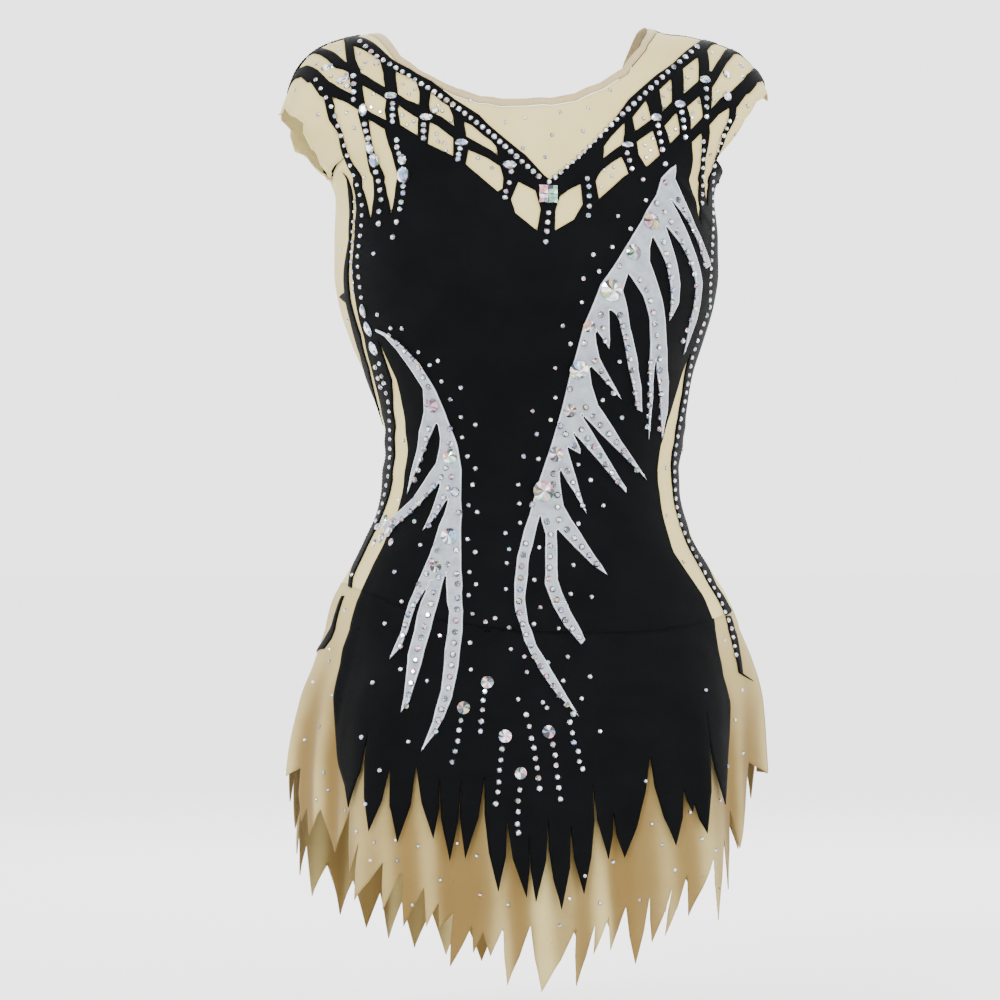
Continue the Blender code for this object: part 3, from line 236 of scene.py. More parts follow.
def normals(angle, height, brief=False):
    """Outward unit normals of the surface."""
    across = (surface(angle + ANGLE_STEP, height, brief)
              - surface(angle - ANGLE_STEP, height, brief))
    upward = (surface(angle, height + HEIGHT_STEP, brief)
              - surface(angle, height - HEIGHT_STEP, brief))
    n = np.cross(across, upward)
    return n / np.maximum(np.linalg.norm(n, axis=1), 1e-9)[:, None]


def unwrapped(points, brief=False):
    """Angle and height of the surface under points close to it (mm)."""
    x, y, z = points.T
    skirt = (z < SKIRT_START) & (not brief)
    high = z > SHOULDER_START
    low = (z < CROTCH_START) & brief
    height = z.copy()
    level = read(SHOULDER_LINE, np.abs(x)) - SHOULDER_START
    rise = np.clip((z - SHOULDER_START) / level, 0, 1)
    drop = np.clip((CROTCH_START - z) / (CROTCH_START - CROTCH_LEVEL), 0, 1)
    for _ in range(UNWRAP_ROUNDS):
        middle, wide, front, back = (
            np.where(skirt, read(SKIRT, height, column),
                     read(TORSO, height, column)) for column in (1, 2, 3, 4))
        depth = np.where(y < 0, front, back)
        sine = np.clip((x - middle) / wide, -1, 1)
        plain = np.sqrt(1 - sine**2)
        full = np.maximum(
            plain * (1 + FRONT_FLATNESS * sine**2) * depth, 1.0)
        turn = np.arctan2(rise, np.abs(y) / full)
        height = np.where(high, SHOULDER_START + SHOULDER_RISE
                          * np.clip(turn * 2 / np.pi, 0, 1), height)
        dip = np.arctan2(drop, np.abs(y) / full)
        height = np.where(low, CROTCH_START - CROTCH_DROP
                          * np.clip(dip * 2 / np.pi, 0, 1), height)
    cosine = np.abs(y) / depth
    flat = cosine.copy()
    for _ in range(UNWRAP_ROUNDS):
        flat = cosine / (1 + FRONT_FLATNESS * (1 - np.clip(flat, 0, 1)**2))
    bent = high | low
    flat = np.where(bent, plain, flat)
    side = (x - middle) / wide
    side = np.where(bent, sine, side)
    return np.arctan2(side, np.where(y < 0, flat, -flat)), height


def round_end(points, angle):
    """Share of each point in the round outer end of the shoulder."""
    high = np.clip((points[:, 2] - SHOULDER_START) / ROUND_RISE, 0, 1)
    return high * np.clip((np.abs(np.sin(angle)) - ROUND_FROM)
                          / ROUND_SPAN, 0, 1)


def outward(points, angle, height, brief=False):
    """Outward directions; a hub sets them at the shoulder's round end."""
    out = normals(angle, height, brief)
    away = points.copy()
    away[:, 0] -= np.clip(points[:, 0], -HUB_ACROSS, HUB_ACROSS)
    away[:, 2] -= HUB_LEVEL
    away /= np.maximum(np.linalg.norm(away, axis=1), 1e-9)[:, None]
    share = round_end(points, angle)[:, None]
    out = out * (1 - share) + away * share
    return out / np.maximum(np.linalg.norm(out, axis=1), 1e-9)[:, None]


def flutes(angle, height):
    """How far the skirts' flutes stand out (mm)."""
    return np.where(height < SKIRT_START, read(SKIRT, height, 5)
                    * np.cos(FLUTES * angle + FLUTE_PHASE), 0.0)


# Folds: angle (degrees), height, width (degrees), tall, lean, depth (mm)
CREASES = (
    (-78, -322, 26, 5, 0.25, 0.9), (-80, -336, 24, 5, 0.1, -0.8),
    (-76, -350, 30, 6, -0.1, 0.8), (-84, -304, 20, 5, 0.4, 0.6),
    (80, -330, 26, 5, -0.2, 0.9), (78, -345, 26, 5, 0.0, -0.8),
    (82, -314, 22, 5, -0.4, 0.7), (74, -362, 24, 6, 0.2, 0.5),
    (-58, -140, 16, 4, 1.6, 0.7), (-64, -152, 14, 4, 1.4, -0.6),
    (60, -142, 16, 4, -1.6, 0.7), (66, -156, 14, 4, -1.3, -0.6),
    (-50, -128, 14, 4, 2.0, 0.5), (52, -130, 14, 4, -2.0, 0.5),
    (150, -330, 34, 6, 0.15, 0.9), (-150, -342, 34, 6, -0.1, 0.9),
    (180, -318, 40, 6, 0.0, 0.7), (-180, -318, 40, 6, 0.0, 0.7),
    (165, -356, 30, 6, -0.1, -0.7), (-165, -300, 30, 6, 0.1, -0.7),
    (140, -120, 16, 5, 1.0, 0.7), (-140, -122, 16, 5, -1.0, 0.7),
    (-82, -620, 2.6, 90, 0, 2.2), (-76, -610, 2.6, 95, 0, -2.6),
    (-69, -630, 2.8, 100, 0, 2.4), (-62, -600, 2.4, 95, 0, -2.8),
    (-56, -640, 3, 90, 0, 1.8), (-44, -680, 3.5, 70, 0, -1.6),
    (58, -640, 3, 90, 0, 1.6), (64, -610, 2.6, 95, 0, -2.4),
    (71, -620, 2.8, 95, 0, 2.2), (78, -600, 2.6, 95, 0, -2.4),
    (30, -690, 4, 60, 0, -1.5), (10, -700, 5, 50, 0, 1.4),
    (-20, -700, 4.5, 50, 0, -1.4),
)
# Ripples of the skirts: share, waves round, wander, its waves and phase,
# and height to a slant (mm)
RIPPLES = ((0.62, 23, 1.4, 3, 0.4, 160.0), (0.38, 41, 1.1, 5, 0.0, 90.0))
RIPPLE_DEPTH, RIPPLE_GROWTH = 2.9, 260.0
# Faint waves of all cloth: depth, waves round, slant and height (mm),
# wander and its waves
WAVE_DEPTH, WAVES, WAVE_SLANT, WAVE_HEIGHT = 0.28, 5.3, 37.0, 23.0
WANDER, WANDER_WAVES = 2.0, 3.1
# Painted shade of the valleys: where it starts above the skirt seam, how far
# it grows, what the flutes and creases count for (mm), its level and depth
VALLEY_START, VALLEY_GROWTH = 30.0, 130.0
VALLEY_FLUTE, VALLEY_CREASE = 15.0, 2.4
VALLEY_LEVEL, VALLEY_DEPTH = 0.62, 0.5
# painted shade in the body's creases: its level and depth
BODY_LEVEL, BODY_DEPTH = 0.5, 0.28


def folds(angle, height):
    """Creases of the body and the finer ripples of the skirts (mm)."""
    out = (WAVE_DEPTH * np.sin(WAVES * angle + height / WAVE_SLANT)
           * np.sin(height / WAVE_HEIGHT
                    + WANDER * np.sin(WANDER_WAVES * angle)))
    for a, h, wide, tall, lean, depth in CREASES:
        aside = np.degrees(angle) - a
        above = height - h - lean * aside
        out = out + depth * np.exp(-(aside / wide)**2 - (above / tall)**2)
    fall = np.clip((SKIRT_START - height) / RIPPLE_GROWTH, 0, 1)
    ripple = sum(
        share * np.sin(waves * angle + wander * np.sin(turns * angle + phase)
                       + height / slant)
        for share, waves, wander, turns, phase, slant in RIPPLES)
    return out + RIPPLE_DEPTH * fall * ripple


def painted_valley_shade(angle, height, crease, skirt):
    """Painted shade: 0 on the crests to 1 in the valleys, where thin cloth is
    in shade.
    """
    if not skirt:
        return np.clip(BODY_LEVEL - BODY_DEPTH * crease, 0, 1)
    low = np.clip((SKIRT_START + VALLEY_START - height) / VALLEY_GROWTH, 0, 1)
    deep = flutes(angle, height) / VALLEY_FLUTE + crease / VALLEY_CREASE
    return np.clip(low * (VALLEY_LEVEL - VALLEY_DEPTH * deep), 0, 1)


# Materials
def new_material(name, colour, roughness, specular):
    """Principled material; returns it with its tree and shader."""
    made = bpy.data.materials.new(name)
    made.use_nodes = True
    shader = made.node_tree.nodes["Principled BSDF"]
    shader.inputs["Base Color"].default_value = (*colour, 1.0)
    shader.inputs["Roughness"].default_value = roughness
    shader.inputs["Specular IOR Level"].default_value = specular
    return made, made.node_tree, shader


def put(tree, value, socket):
    """Set an input to a number, or link another node's output to it."""
    if isinstance(value, bpy.types.NodeSocket):
        tree.links.new(value, socket)
    else:
        socket.default_value = value


def node(tree, kind, **values):
    """Add a node; values set its properties or, in capitals, its inputs."""
    made = tree.nodes.new(kind)
    for key, value in values.items():
        if key[0].isupper():
            put(tree, value, made.inputs[key.replace("_", " ")])
        else:
            setattr(made, key, value)
    return made


def sums(tree, operation, *terms, use_clamp=False):
    """Math node over numbers or outputs; returns its result."""
    made = node(tree, "ShaderNodeMath", operation=operation,
                use_clamp=use_clamp)
    for socket, term in zip(made.inputs, terms):
        put(tree, term, socket)
    return made.outputs["Value"]


def weave(tree, pitch, slant):
    """Threads both ways over the cloth's own flat map, as a height."""
    place = node(tree, "ShaderNodeTexCoord")
    turned = node(tree, "ShaderNodeMapping", Rotation=(0, 0, slant),
                  Vector=place.outputs["UV"]).outputs["Vector"]
    waves = [node(tree, "ShaderNodeTexWave", bands_direction=direction,
                  Scale=1.0 / pitch, Distortion=0.6, Detail=1.0,
                  Detail_Scale=1.5, Vector=turned).outputs["Fac"]
             for direction in ("X", "Y")]
    return sums(tree, "MULTIPLY", *waves), turned


BLOTCH_FROM, BLOTCH_TO = 0.35, 0.68
ROUGH_LESS, ROUGH_MORE = 0.08, 0.1
THREAD_RISE = 0.0003
SHEEN_ROUGHNESS = 0.45
# places of the two colours and of the result among a mix node's sockets
MIX_LIGHT, MIX_DARK, MIX_RESULT = 6, 7, 2


def cloth_look(name, light, dark, roughness, pitch, slant, rise, sheen,
               specular, blotch, blotch_share, painted_shade=0.0):
    """Woven or knitted cloth: colour from the threads and soft blotches, with
    shade painted darker into the folds.
    """
    made, tree, shader = new_material(name, light, roughness, specular)
    threads, place = weave(tree, pitch, slant)
    cloud = node(tree, "ShaderNodeTexNoise", Scale=blotch, Detail=5.0,
                 Roughness=0.6, Vector=place).outputs["Fac"]
    spread = node(tree, "ShaderNodeMapRange", From_Min=BLOTCH_FROM,
                  From_Max=BLOTCH_TO, To_Max=blotch_share, Value=cloud)
    gaps = sums(tree, "MULTIPLY_ADD", threads, -0.5, 0.5)
    total = sums(tree, "ADD", gaps, spread.outputs["Result"], use_clamp=True)
    # shade of the folds painted into the colour, mixed towards the dark colour
    if painted_shade:
        depth = node(tree, "ShaderNodeAttribute", attribute_name="painted_shade")
        total = sums(tree, "MULTIPLY_ADD", depth.outputs["Fac"], painted_shade,
                     total, use_clamp=True)
    mixed = node(tree, "ShaderNodeMix", data_type="RGBA", Factor=total)
    mixed.inputs[MIX_LIGHT].default_value = (*light, 1.0)
    mixed.inputs[MIX_DARK].default_value = (*dark, 1.0)
    rough = node(tree, "ShaderNodeMapRange", To_Min=roughness - ROUGH_LESS,
                 To_Max=roughness + ROUGH_MORE, Value=cloud)
    raised = node(tree, "ShaderNodeBump", Strength=rise,
                  Distance=THREAD_RISE, Height=threads)
    for key, value in (("Base Color", mixed.outputs[MIX_RESULT]),
                       ("Roughness", rough.outputs["Result"]),
                       ("Normal", raised.outputs["Normal"])):
        tree.links.new(value, shader.inputs[key])
    shader.inputs["Sheen Weight"].default_value = sheen
    shader.inputs["Sheen Roughness"].default_value = SHEEN_ROUGHNESS
    return made


STONE_ROUGHNESS, STONE_SPECULAR = 0.06, 0.8
CLOUD_SCALE, CLOUD_SHADE = 260.0, 0.45
CLOUD_FROM, CLOUD_TO = 0.32, 0.62


def crystal_look(name, colour):
    """Foiled glass stone, a little cloudy."""
    made, tree, shader = new_material(name, colour, STONE_ROUGHNESS,
                                      STONE_SPECULAR)
    shader.inputs["Metallic"].default_value = 0.82
    shader.inputs["Coat Weight"].default_value = 0.6
    shader.inputs["Coat Roughness"].default_value = 0.03
    place = node(tree, "ShaderNodeTexCoord")
    tint = node(tree, "ShaderNodeTexNoise", Scale=CLOUD_SCALE, Detail=1.0,
                Vector=place.outputs["Object"])
    ramp = node(tree, "ShaderNodeValToRGB", Fac=tint.outputs["Fac"])
    first, last = ramp.color_ramp.elements
    first.position, last.position = CLOUD_FROM, CLOUD_TO
    first.color = (*[c * CLOUD_SHADE for c in colour], 1)
    last.color = (*colour, 1)
    tree.links.new(ramp.outputs["Color"], shader.inputs["Base Color"])
    return made


# name, light and dark colour, roughness, thread pitch (mm), slant and rise,
# sheen, specular level, blotches' scale and share, painted shade of the
# valleys
LOOKS = {key: cloth_look(*row) for key, row in {
    "nude": ("nude_mesh_lined", (0.60, 0.515, 0.24), (0.455, 0.37, 0.148),
             0.72, 0.55, 0.0, 0.3, 0.1, 0.15, 0.016, 0.4, 0.35),
    # the skirt's dark colour is mostly painted shade, mixed in along the
    # valleys and darkest low on the skirt
    "sheer": ("nude_mesh_skirt", (0.57, 0.475, 0.205), (0.135, 0.082, 0.020),
              0.7, 0.6, 0.0, 0.35, 0.06, 0.15, 0.012, 0.14, 0.72),
    "binding": ("nude_mesh_binding", (0.42, 0.335, 0.185),
                (0.32, 0.235, 0.115), 0.6, 0.45, 0.78, 0.3, 0.15, 0.2, 0.05,
                0.4),
    "black": ("black_lycra", (0.0013, 0.0015, 0.0020),
              (0.0005, 0.0006, 0.0008), 0.6, 0.42, 0.0, 0.3, 0.003, 0.038,
              0.03, 0.5),
    "white": ("white_satin", (0.335, 0.365, 0.405), (0.165, 0.187, 0.217),
              0.34, 0.5, 0.78, 0.25, 0.07, 0.35, 0.11, 0.6),
    "thread_white": ("thread_white", (0.88, 0.90, 0.94), (0.66, 0.68, 0.72),
                     0.45, 0.8, 0.7, 0.6, 0.2, 0.3, 0.2, 0.3),
    "thread_black": ("thread_black", (0.002, 0.002, 0.003),
                     (0.001, 0.001, 0.001), 0.6, 0.8, 0.7, 0.6, 0.005,
                     0.06, 0.2, 0.3),
    "thread_nude": ("thread_nude", (0.54, 0.43, 0.24), (0.36, 0.27, 0.13),
                    0.55, 0.8, 0.7, 0.6, 0.2, 0.2, 0.2, 0.3),
}.items()}
TINTS = {
    "clear": (0.66, 0.70, 0.76), "rose": (0.60, 0.27, 0.34),
    "green": (0.22, 0.47, 0.35), "blue": (0.23, 0.35, 0.60),
    "amber": (0.50, 0.38, 0.16), "smoke": (0.11, 0.12, 0.15),
    "deep": (0.022, 0.025, 0.035), "bright": (1.0, 1.0, 1.0),
}
CRYSTALS = [crystal_look("crystal_" + name, colour)
            for name, colour in TINTS.items()]
# tint that every cut stone's girdle band and back always take: a painted dark
# ring of shade round each stone
PAINTED_RIM_SHADE = list(TINTS).index("smoke")
# how often each tint shows on a stone's facets and on its flat top
FACET_SHARES = (0.30, 0.08, 0.05, 0.14, 0.03, 0.28, 0.04, 0.08)
TOP_SHARES = (0.40, 0.07, 0.05, 0.10, 0.02, 0.02, 0.0, 0.34)
ON_SATIN = (0.10, 0.10, 0.04, 0.12, 0.07, 0.34, 0.18, 0.05)
SATIN_TOPS = (0.34, 0.12, 0.03, 0.12, 0.05, 0.22, 0.0, 0.12)
LARGE_SHARES = (0.13, 0.15, 0.15, 0.06, 0.12, 0.18, 0.13, 0.08)


# Cloth shells
def outer_side(name, brief):
    """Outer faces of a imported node, welded, as a bmesh in mm."""
    bm = bmesh.new()
    bm.from_mesh(NODES[name].data)
    bmesh.ops.scale(bm, vec=(1 / MM,) * 3, verts=bm.verts)
    bmesh.ops.remove_doubles(bm, verts=bm.verts, dist=WELD)
    bm.normal_update()
    bm.faces.ensure_lookup_table()
    centres = np.array([f.calc_center_median() for f in bm.faces])
    facing = np.array([f.normal for f in bm.faces])
    angle, height = unwrapped(centres, brief)
    out = outward(centres, angle, height, brief)
    least = np.where(round_end(centres, angle) > 0, ROUND_FACING, FACING)
    keep = (facing * out).sum(1) > least
    rest = [f for f, good in zip(bm.faces, keep) if not good]
    bmesh.ops.delete(bm, geom=rest, context="FACES")
    return bm


def refine(bm):
    """Split every edge that is too long to bend."""
    for _ in range(SPLIT_ROUNDS):
        long = [e for e in bm.edges if e.calc_length() > LONGEST_EDGE]
        if not long:
            return
        bmesh.ops.subdivide_edges(bm, edges=long, cuts=1)
        bmesh.ops.triangulate(
            bm, faces=[f for f in bm.faces if len(f.verts) > 3])


def rim_distance(bm, points):
    """Distance of every point from the cut edge of the cloth (mm)."""
    rim = sorted({v.index for e in bm.edges if e.is_boundary
                  for v in e.verts})
    tree = KDTree(len(rim))
    for i in rim:
        tree.insert(points[i], i)
    tree.balance()
    return np.array([tree.find(p)[2] for p in points])


def evened(bm, points, share):
    """Even out the flat facets where share is above 0."""
    points = points.copy()
    moving = [(i, [e.other_vert(v).index for e in v.link_edges])
              for i, v in enumerate(bm.verts) if share[i] > 0]
    for _ in range(EVEN_ROUNDS):
        pulled = {i: points[near].mean(0) for i, near in moving}
        for i, target in pulled.items():
            points[i] += EVEN_PULL * share[i] * (target - points[i])
    return points


def joined_tree(meshes, unit=1.0):
    """One search tree over the faces of many meshes."""
    verts, faces = [], []
    for mesh in meshes:
        start = len(verts)
        verts += [v.co / unit for v in mesh.vertices]
        faces += [[i + start for i in p.vertices] for p in mesh.polygons]
    return BVHTree.FromPolygons(verts, faces)


def tucked(points, edge, out, over):
    """Slide the cloth's edge under the pieces that it is sewn to."""
    solid = joined_tree([NODES[name].data for name in over], MM)
    points = points.copy()
    for i in np.flatnonzero(edge < TUCK_FROM):
        if (solid.find_nearest(Vector(points[i]))[3]
                < TUCK_FROM + TUCK_NEAR):
            share = 1 - edge[i] / TUCK_FROM
            points[i] += share * (np.array((0, 0, TUCK_UP))
                                  - out[i] * TUCK_IN)
    return points


def shaped(bm, name, brief):
    """Points of the cloth over the body, their angle, height and painted
    shade.
    """
    top, look = CLOTH[name][:2]
    points = np.array([v.co for v in bm.verts], float)
    edge = rim_distance(bm, points)
    angle, height = unwrapped(points, brief)
    rounded = round_end(points, angle)
    if rounded.any():
        points = evened(bm, points, rounded * (edge > RIM_KEPT))
    out = outward(points, angle, height, brief)
    lift = np.full(len(points), top)
    if not brief:
        lift += flutes(angle, height)
    if name in STANDING:
        lift += read(SKIRT_STAND, height)
    for _ in range(SNAP_ROUNDS):
        level = ((points - surface(angle, height, brief)) * out).sum(1)
        rise = np.clip(lift - level, -MOST_LIFT, MOST_LIFT) * (1 - rounded)
        points = points + out * rise[:, None]
        base = points - out * lift[:, None]
        angle, height = unwrapped(base, brief)
        out = outward(points, angle, height, brief)
    width, depth = SOFT_EDGE[look]
    rolled = np.clip(edge / width, 0, 1)
    puff = depth * (rolled * rolled * (3 - 2 * rolled) - 1.0)
    crease = folds(angle, height) * (BRIEF_FOLDS if brief else 1.0)
    crease = crease * (1 - rounded)
    points = points + out * (puff + crease)[:, None]
    if name in TUCKED:
        points = tucked(points, edge, out, TUCKED[name])
    return points, angle, height, painted_valley_shade(angle, height, crease,
                                          look == "sheer")


def piece(bm, name, looks, smooth=True):
    """Turn a bmesh into a piece of the garment."""
    mesh = bpy.data.meshes.new(name)
    bm.to_mesh(mesh)
    bm.free()
    for look in looks:
        mesh.materials.append(look)
    for f in mesh.polygons:
        f.use_smooth = smooth
    obj = bpy.data.objects.new(name, mesh)
    GARMENT.objects.link(obj)
    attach(obj, "root")
    return obj


def shell(name):
    """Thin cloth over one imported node, with its folds and a flat map."""
    look = CLOTH[name][1]
    brief = name.startswith("brief")
    bm = outer_side(name, brief)
    refine(bm)
    bm.verts.ensure_lookup_table()
    bm.verts.index_update()
    points, angle, height, shades = shaped(bm, name, brief)
    # painted shade of the folds, stored for the cloth looks to darken the
    # colour
    shade = bm.verts.layers.float.new("painted_shade")
    for v, point, value in zip(bm.verts, points, shades):
        v.co = point * MM
        v[shade] = value
    flat = bm.loops.layers.uv.new("flat")
    mean = float(np.mean(angle))
    radius = read(TORSO, height, 2) * FLAT_RADIUS
    for f in bm.faces:
        for loop in f.loops:
            i = loop.vert.index
            a = (angle[i] - mean + np.pi) % (2 * np.pi) - np.pi
            loop[flat].uv = (a * radius[i], height[i])
    obj = piece(bm, "cloth_" + name, [LOOKS[look]])
    thick = obj.modifiers.new("cloth", "SOLIDIFY")
    thick.thickness = (BINDING_WALL if look == "binding" else WALL) * MM
    thick.offset = -1.0
    thick.use_even_offset = False
    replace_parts(obj, name)
    return obj


GARMENT = bpy.data.collections.new("gymnastics_leotard_looks")
bpy.context.scene.collection.children.link(GARMENT)
SHELLS = {name: shell(name) for name in CLOTH}


# Stitching
# how far a stitch may slip from its place, and rise, as shares
STITCH_SLIP, STITCH_LIFT = 0.35, 0.4
# share of the stitch's length, and its swell there
STITCH_SHAPE = ((0.0, 0.35), (0.2, 0.9), (0.5, 1.0), (0.8, 0.9), (1.0, 0.35))
THREAD_SIDES = 5


def rim_loops(mesh):
    """Cut edges of a shell as lists of vertex numbers, in order."""
    count = {}
    for f in mesh.polygons:
        for key in f.edge_keys:
            count[key] = count.get(key, 0) + 1
    near = {}
    for (a, b), n in count.items():
        if n == 1:
            near.setdefault(a, []).append(b)
            near.setdefault(b, []).append(a)
    loops, used = [], set()
    for start in sorted(near):
        if start in used:
            continue
        loop, at = [start], start
        used.add(start)
        while True:
            onward = [v for v in near[at] if v not in used]
            if not onward:
                break
            at = onward[0]
            used.add(at)
            loop.append(at)
        loops.append(loop)
    return loops


def stitched(source, inset, radius, stitch, gap, look):
    """Row of stitches just inside the cut edge of a shell (mm)."""
    mesh = SHELLS[source].data
    solid = joined_tree([mesh])
    bm = bmesh.new()
    for loop in rim_loops(mesh):
        spots = [mesh.vertices[i].co.copy() for i in loop]
        spots.append(spots[0])
        walk, total = [], 0.0
        for a, b in zip(spots, spots[1:]):
            walk.append((total, a, b))
            total += (b - a).length
        place, k = 0.0, 0
        while place + stitch * MM < total:
            line = []
            for at in (place, place + stitch * MM):
                while k + 1 < len(walk) and walk[k + 1][0] <= at:
                    k += 1
                start, a, b = walk[k]
                length = max((b - a).length, 1e-7)
                spot = a.lerp(b, min((at - start) / length, 1.0))
                hit = solid.find_nearest(spot)
                inward = hit[1].cross((b - a).normalized())
                for way in (1, -1):
                    tried = spot + inward * (way * inset * MM)
                    found = solid.find_nearest(tried)
                    if (found[0] - tried).length < STITCH_SLIP * inset * MM:
                        line.append(found[0]
                                    + found[1] * radius * STITCH_LIFT * MM)
                        break
            place += (stitch + gap) * MM
            if len(line) == 2:
                add_stitch(bm, line[0], line[1], hit[1], radius * MM)
    bmesh.ops.recalc_face_normals(bm, faces=bm.faces)
    piece(bm, "stitches_" + source.removeprefix("neck_"), [LOOKS[look]])


def add_stitch(bm, start, end, up, radius):
    """One stitch: a short thread that dips into the cloth at both ends."""
    along = (end - start).normalized()
    aside = along.cross(up).normalized()
    up = aside.cross(along)
    rings = []
    for share, swell in STITCH_SHAPE:
        centre = start.lerp(end, share) + up * radius * (swell - 1.0)
        ring = []
        for j in range(THREAD_SIDES):
            t = j * math.tau / THREAD_SIDES
            ring.append(bm.verts.new(
                centre + (aside * math.cos(t) + up * math.sin(t))
                * radius * swell))
        rings.append(ring)
    for low, high in zip(rings, rings[1:]):
        for j in range(THREAD_SIDES):
            bm.faces.new((low[j], low[j - 1], high[j - 1], high[j]))
    bm.faces.new(rings[0])
    bm.faces.new(rings[-1][::-1])


# Cloth piece, inset from its edge, thread radius, stitch and gap (mm), look
for row in (("flame_right", 0.9, 0.32, 1.7, 0.25, "thread_white"),
            ("flame_left", 0.9, 0.32, 1.7, 0.25, "thread_white"),
            ("front_body", 1.3, 0.22, 1.8, 0.9, "thread_black"),
            ("neck_binding_front", 1.1, 0.2, 1.9, 1.0, "thread_nude"),
            ("neck_binding_back", 1.1, 0.2, 1.9, 1.0, "thread_nude"),
            ("sleeve_left", 2.6, 0.2, 1.9, 1.0, "thread_nude"),
            ("sleeve_right", 2.6, 0.2, 1.9, 1.0, "thread_nude"),
            ("back_body", 1.6, 0.2, 1.9, 1.0, "thread_black")):
    stitched(*row)


# Stones
# rings of a cut and of a pointed stone: size, level and turn
CUT_ROWS = ((0.96, -0.06, 0.0), (1.0, 0.16, 0.0), (0.82, 0.62, 0.5),
            (0.52, 1.0, 0.0))
POINT_ROWS = ((0.95, -0.04, 0.0), (1.0, 0.22, 0.0), (0.62, 0.62, 0.5))
EYE_RIGHT = Vector((math.cos(YAW), -math.sin(YAW), 0))
EYE_FORWARD = Vector((math.sin(YAW), math.cos(YAW), 0))
EYE = (EYE_RIGHT * EYE_ACROSS + Vector((0, 0, EYE_LEVEL))
       - EYE_FORWARD * EYE_DISTANCE) * MM
CLOTH_TREE = joined_tree([obj.data for obj in SHELLS.values()])


def seat(x_pixel, y_pixel):
    """Point and normal of the cloth seen at a picture point."""
    ray = (EYE_FORWARD * EYE_DISTANCE
           + EYE_RIGHT * (x_pixel - PICTURE_CENTRE) * MM_PER_PIXEL
           - Vector((0, 0, 1)) * (y_pixel - PICTURE_CENTRE) * MM_PER_PIXEL)
    return CLOTH_TREE.ray_cast(EYE, ray.normalized())[:2]


def seated(spot, normal, tilt):
    """Matrix that stands a stone on the cloth, a little sunk and turned."""
    spot = spot - normal * SUNK * MM
    aside = Vector((0, 0, 1)).cross(normal).normalized()
    up = normal.cross(aside)
    turn = Matrix((aside, up, normal)).transposed().to_4x4()
    return (Matrix.Translation(spot) @ turn @ Matrix.Rotation(tilt, 4, "Z"))


def stone_rings(bm, place, wide, tall, rise, sides, rows):
    """Rings of a stone's corners; a row gives size, level and turn."""
    return [[bm.verts.new(place @ Vector((
        math.cos((j + turn) * math.tau / sides) * wide / 2 * size * MM,
        math.sin((j + turn) * math.tau / sides) * tall / 2 * size * MM,
        level * rise * MM))) for j in range(sides)]
        for size, level, turn in rows]


def add_cut_stone(bm, place, wide, tall, rise, sides, pick,
                  shares=FACET_SHARES, tops=TOP_SHARES):
    """Flat-backed stone: girdle, star and main facets, and a table."""
    low, girdle, middle, table = stone_rings(bm, place, wide, tall, rise,
                                             sides, CUT_ROWS)
    for j in range(sides):
        k = (j + 1) % sides
        outer, inner = pick.choice(len(CRYSTALS), 2, p=shares)
        for corners, tint in (
                # girdle band: always the smoke tint, painted shade for the
                # dark ring at the stone's edge
                ((low[j], low[k], girdle[k], girdle[j]), PAINTED_RIM_SHADE),
                ((girdle[j], girdle[k], middle[j]), outer),
                ((middle[j], girdle[k], middle[k]), outer),
                ((middle[j], table[k], table[j]), inner),
                ((middle[j], middle[k], table[k]), inner)):
            bm.faces.new(corners).material_index = int(tint)
    top = int(pick.choice(len(CRYSTALS), p=tops))
    bm.faces.new(table).material_index = top
    bm.faces.new(low[::-1]).material_index = PAINTED_RIM_SHADE


def add_point_stone(bm, place, wide, rise, sides, pick, shares):
    """Large stone with long facets that meet in a point."""
    low, girdle, middle = stone_rings(bm, place, wide, wide, rise, sides,
                                      POINT_ROWS)
    tip = bm.verts.new(place @ Vector((0, 0, rise * MM)))
    for j in range(sides):
        k = (j + 1) % sides
        tint = int(pick.choice(len(CRYSTALS), p=shares))
        for corners in ((low[j], low[k], girdle[k], girdle[j]),
                        (girdle[j], girdle[k], middle[j]),
                        (middle[j], girdle[k], middle[k]),
                        (middle[j], middle[k], tip)):
            bm.faces.new(corners).material_index = tint
    bm.faces.new(low[::-1])


def evenly(points, spacing):
    """Points along a run at about equal spacing, ends included."""
    lengths = [math.dist(a, b) for a, b in zip(points, points[1:])]
    total = sum(lengths)
    count = max(round(total / spacing), 1)
    made = []
    for n in range(count + 1):
        at, i = total * n / count, 0
        while i < len(lengths) - 1 and at > lengths[i]:
            at -= lengths[i]
            i += 1
        t = min(at / max(lengths[i], 1e-6), 1.0)
        (x0, y0), (x1, y1) = points[i], points[i + 1]
        made.append((x0 + (x1 - x0) * t, y0 + (y1 - y0) * t))
    return made


# Places in the picture, in pixels: (x, y) pairs, or runs with a spacing
V_ROWS = (
    ((360, 41.5), (376, 56), (396, 68), (430, 89), (458, 108), (490, 133),
     (516, 156), (538.8, 176.5)),
    ((549, 182), (580, 156), (612, 124), (640, 98), (668, 72), (697, 47)),
)
RUNS = (
    # right-hand stripes and the outer strips
    (((703.6, 141.6), (702, 203)), 9.0),
    (((729.7, 121), (722, 140), (715, 160), (712.4, 185), (713, 215),
      (712, 245), (710.5, 275), (709.7, 300)), 8.0),
    (((709.7, 307), (700, 333), (691.9, 356.7), (684.9, 398.5),
      (678.5, 429.6), (675, 452), (674, 476), (676, 505), (681.5, 527),
      (700, 565), (718.8, 596), (731, 627), (736, 655)), 9.0),
    (((315.7, 79.6), (326, 98), (332.9, 109.4), (339.2, 131), (345.6, 150),
      (351, 168), (358.8, 189.5), (362.4, 207), (361.5, 227), (359, 246),
      (357.6, 257), (358, 271.6), (361.4, 297.4)), 10.5),
    (((354.8, 201.7), (353, 232), (351.5, 262), (353.5, 292)), 10.5),
    (((386.2, 393), (389, 404), (390.2, 430), (390.4, 456), (389, 472),
      (383.7, 501.4), (376, 521)), 9.5),
)
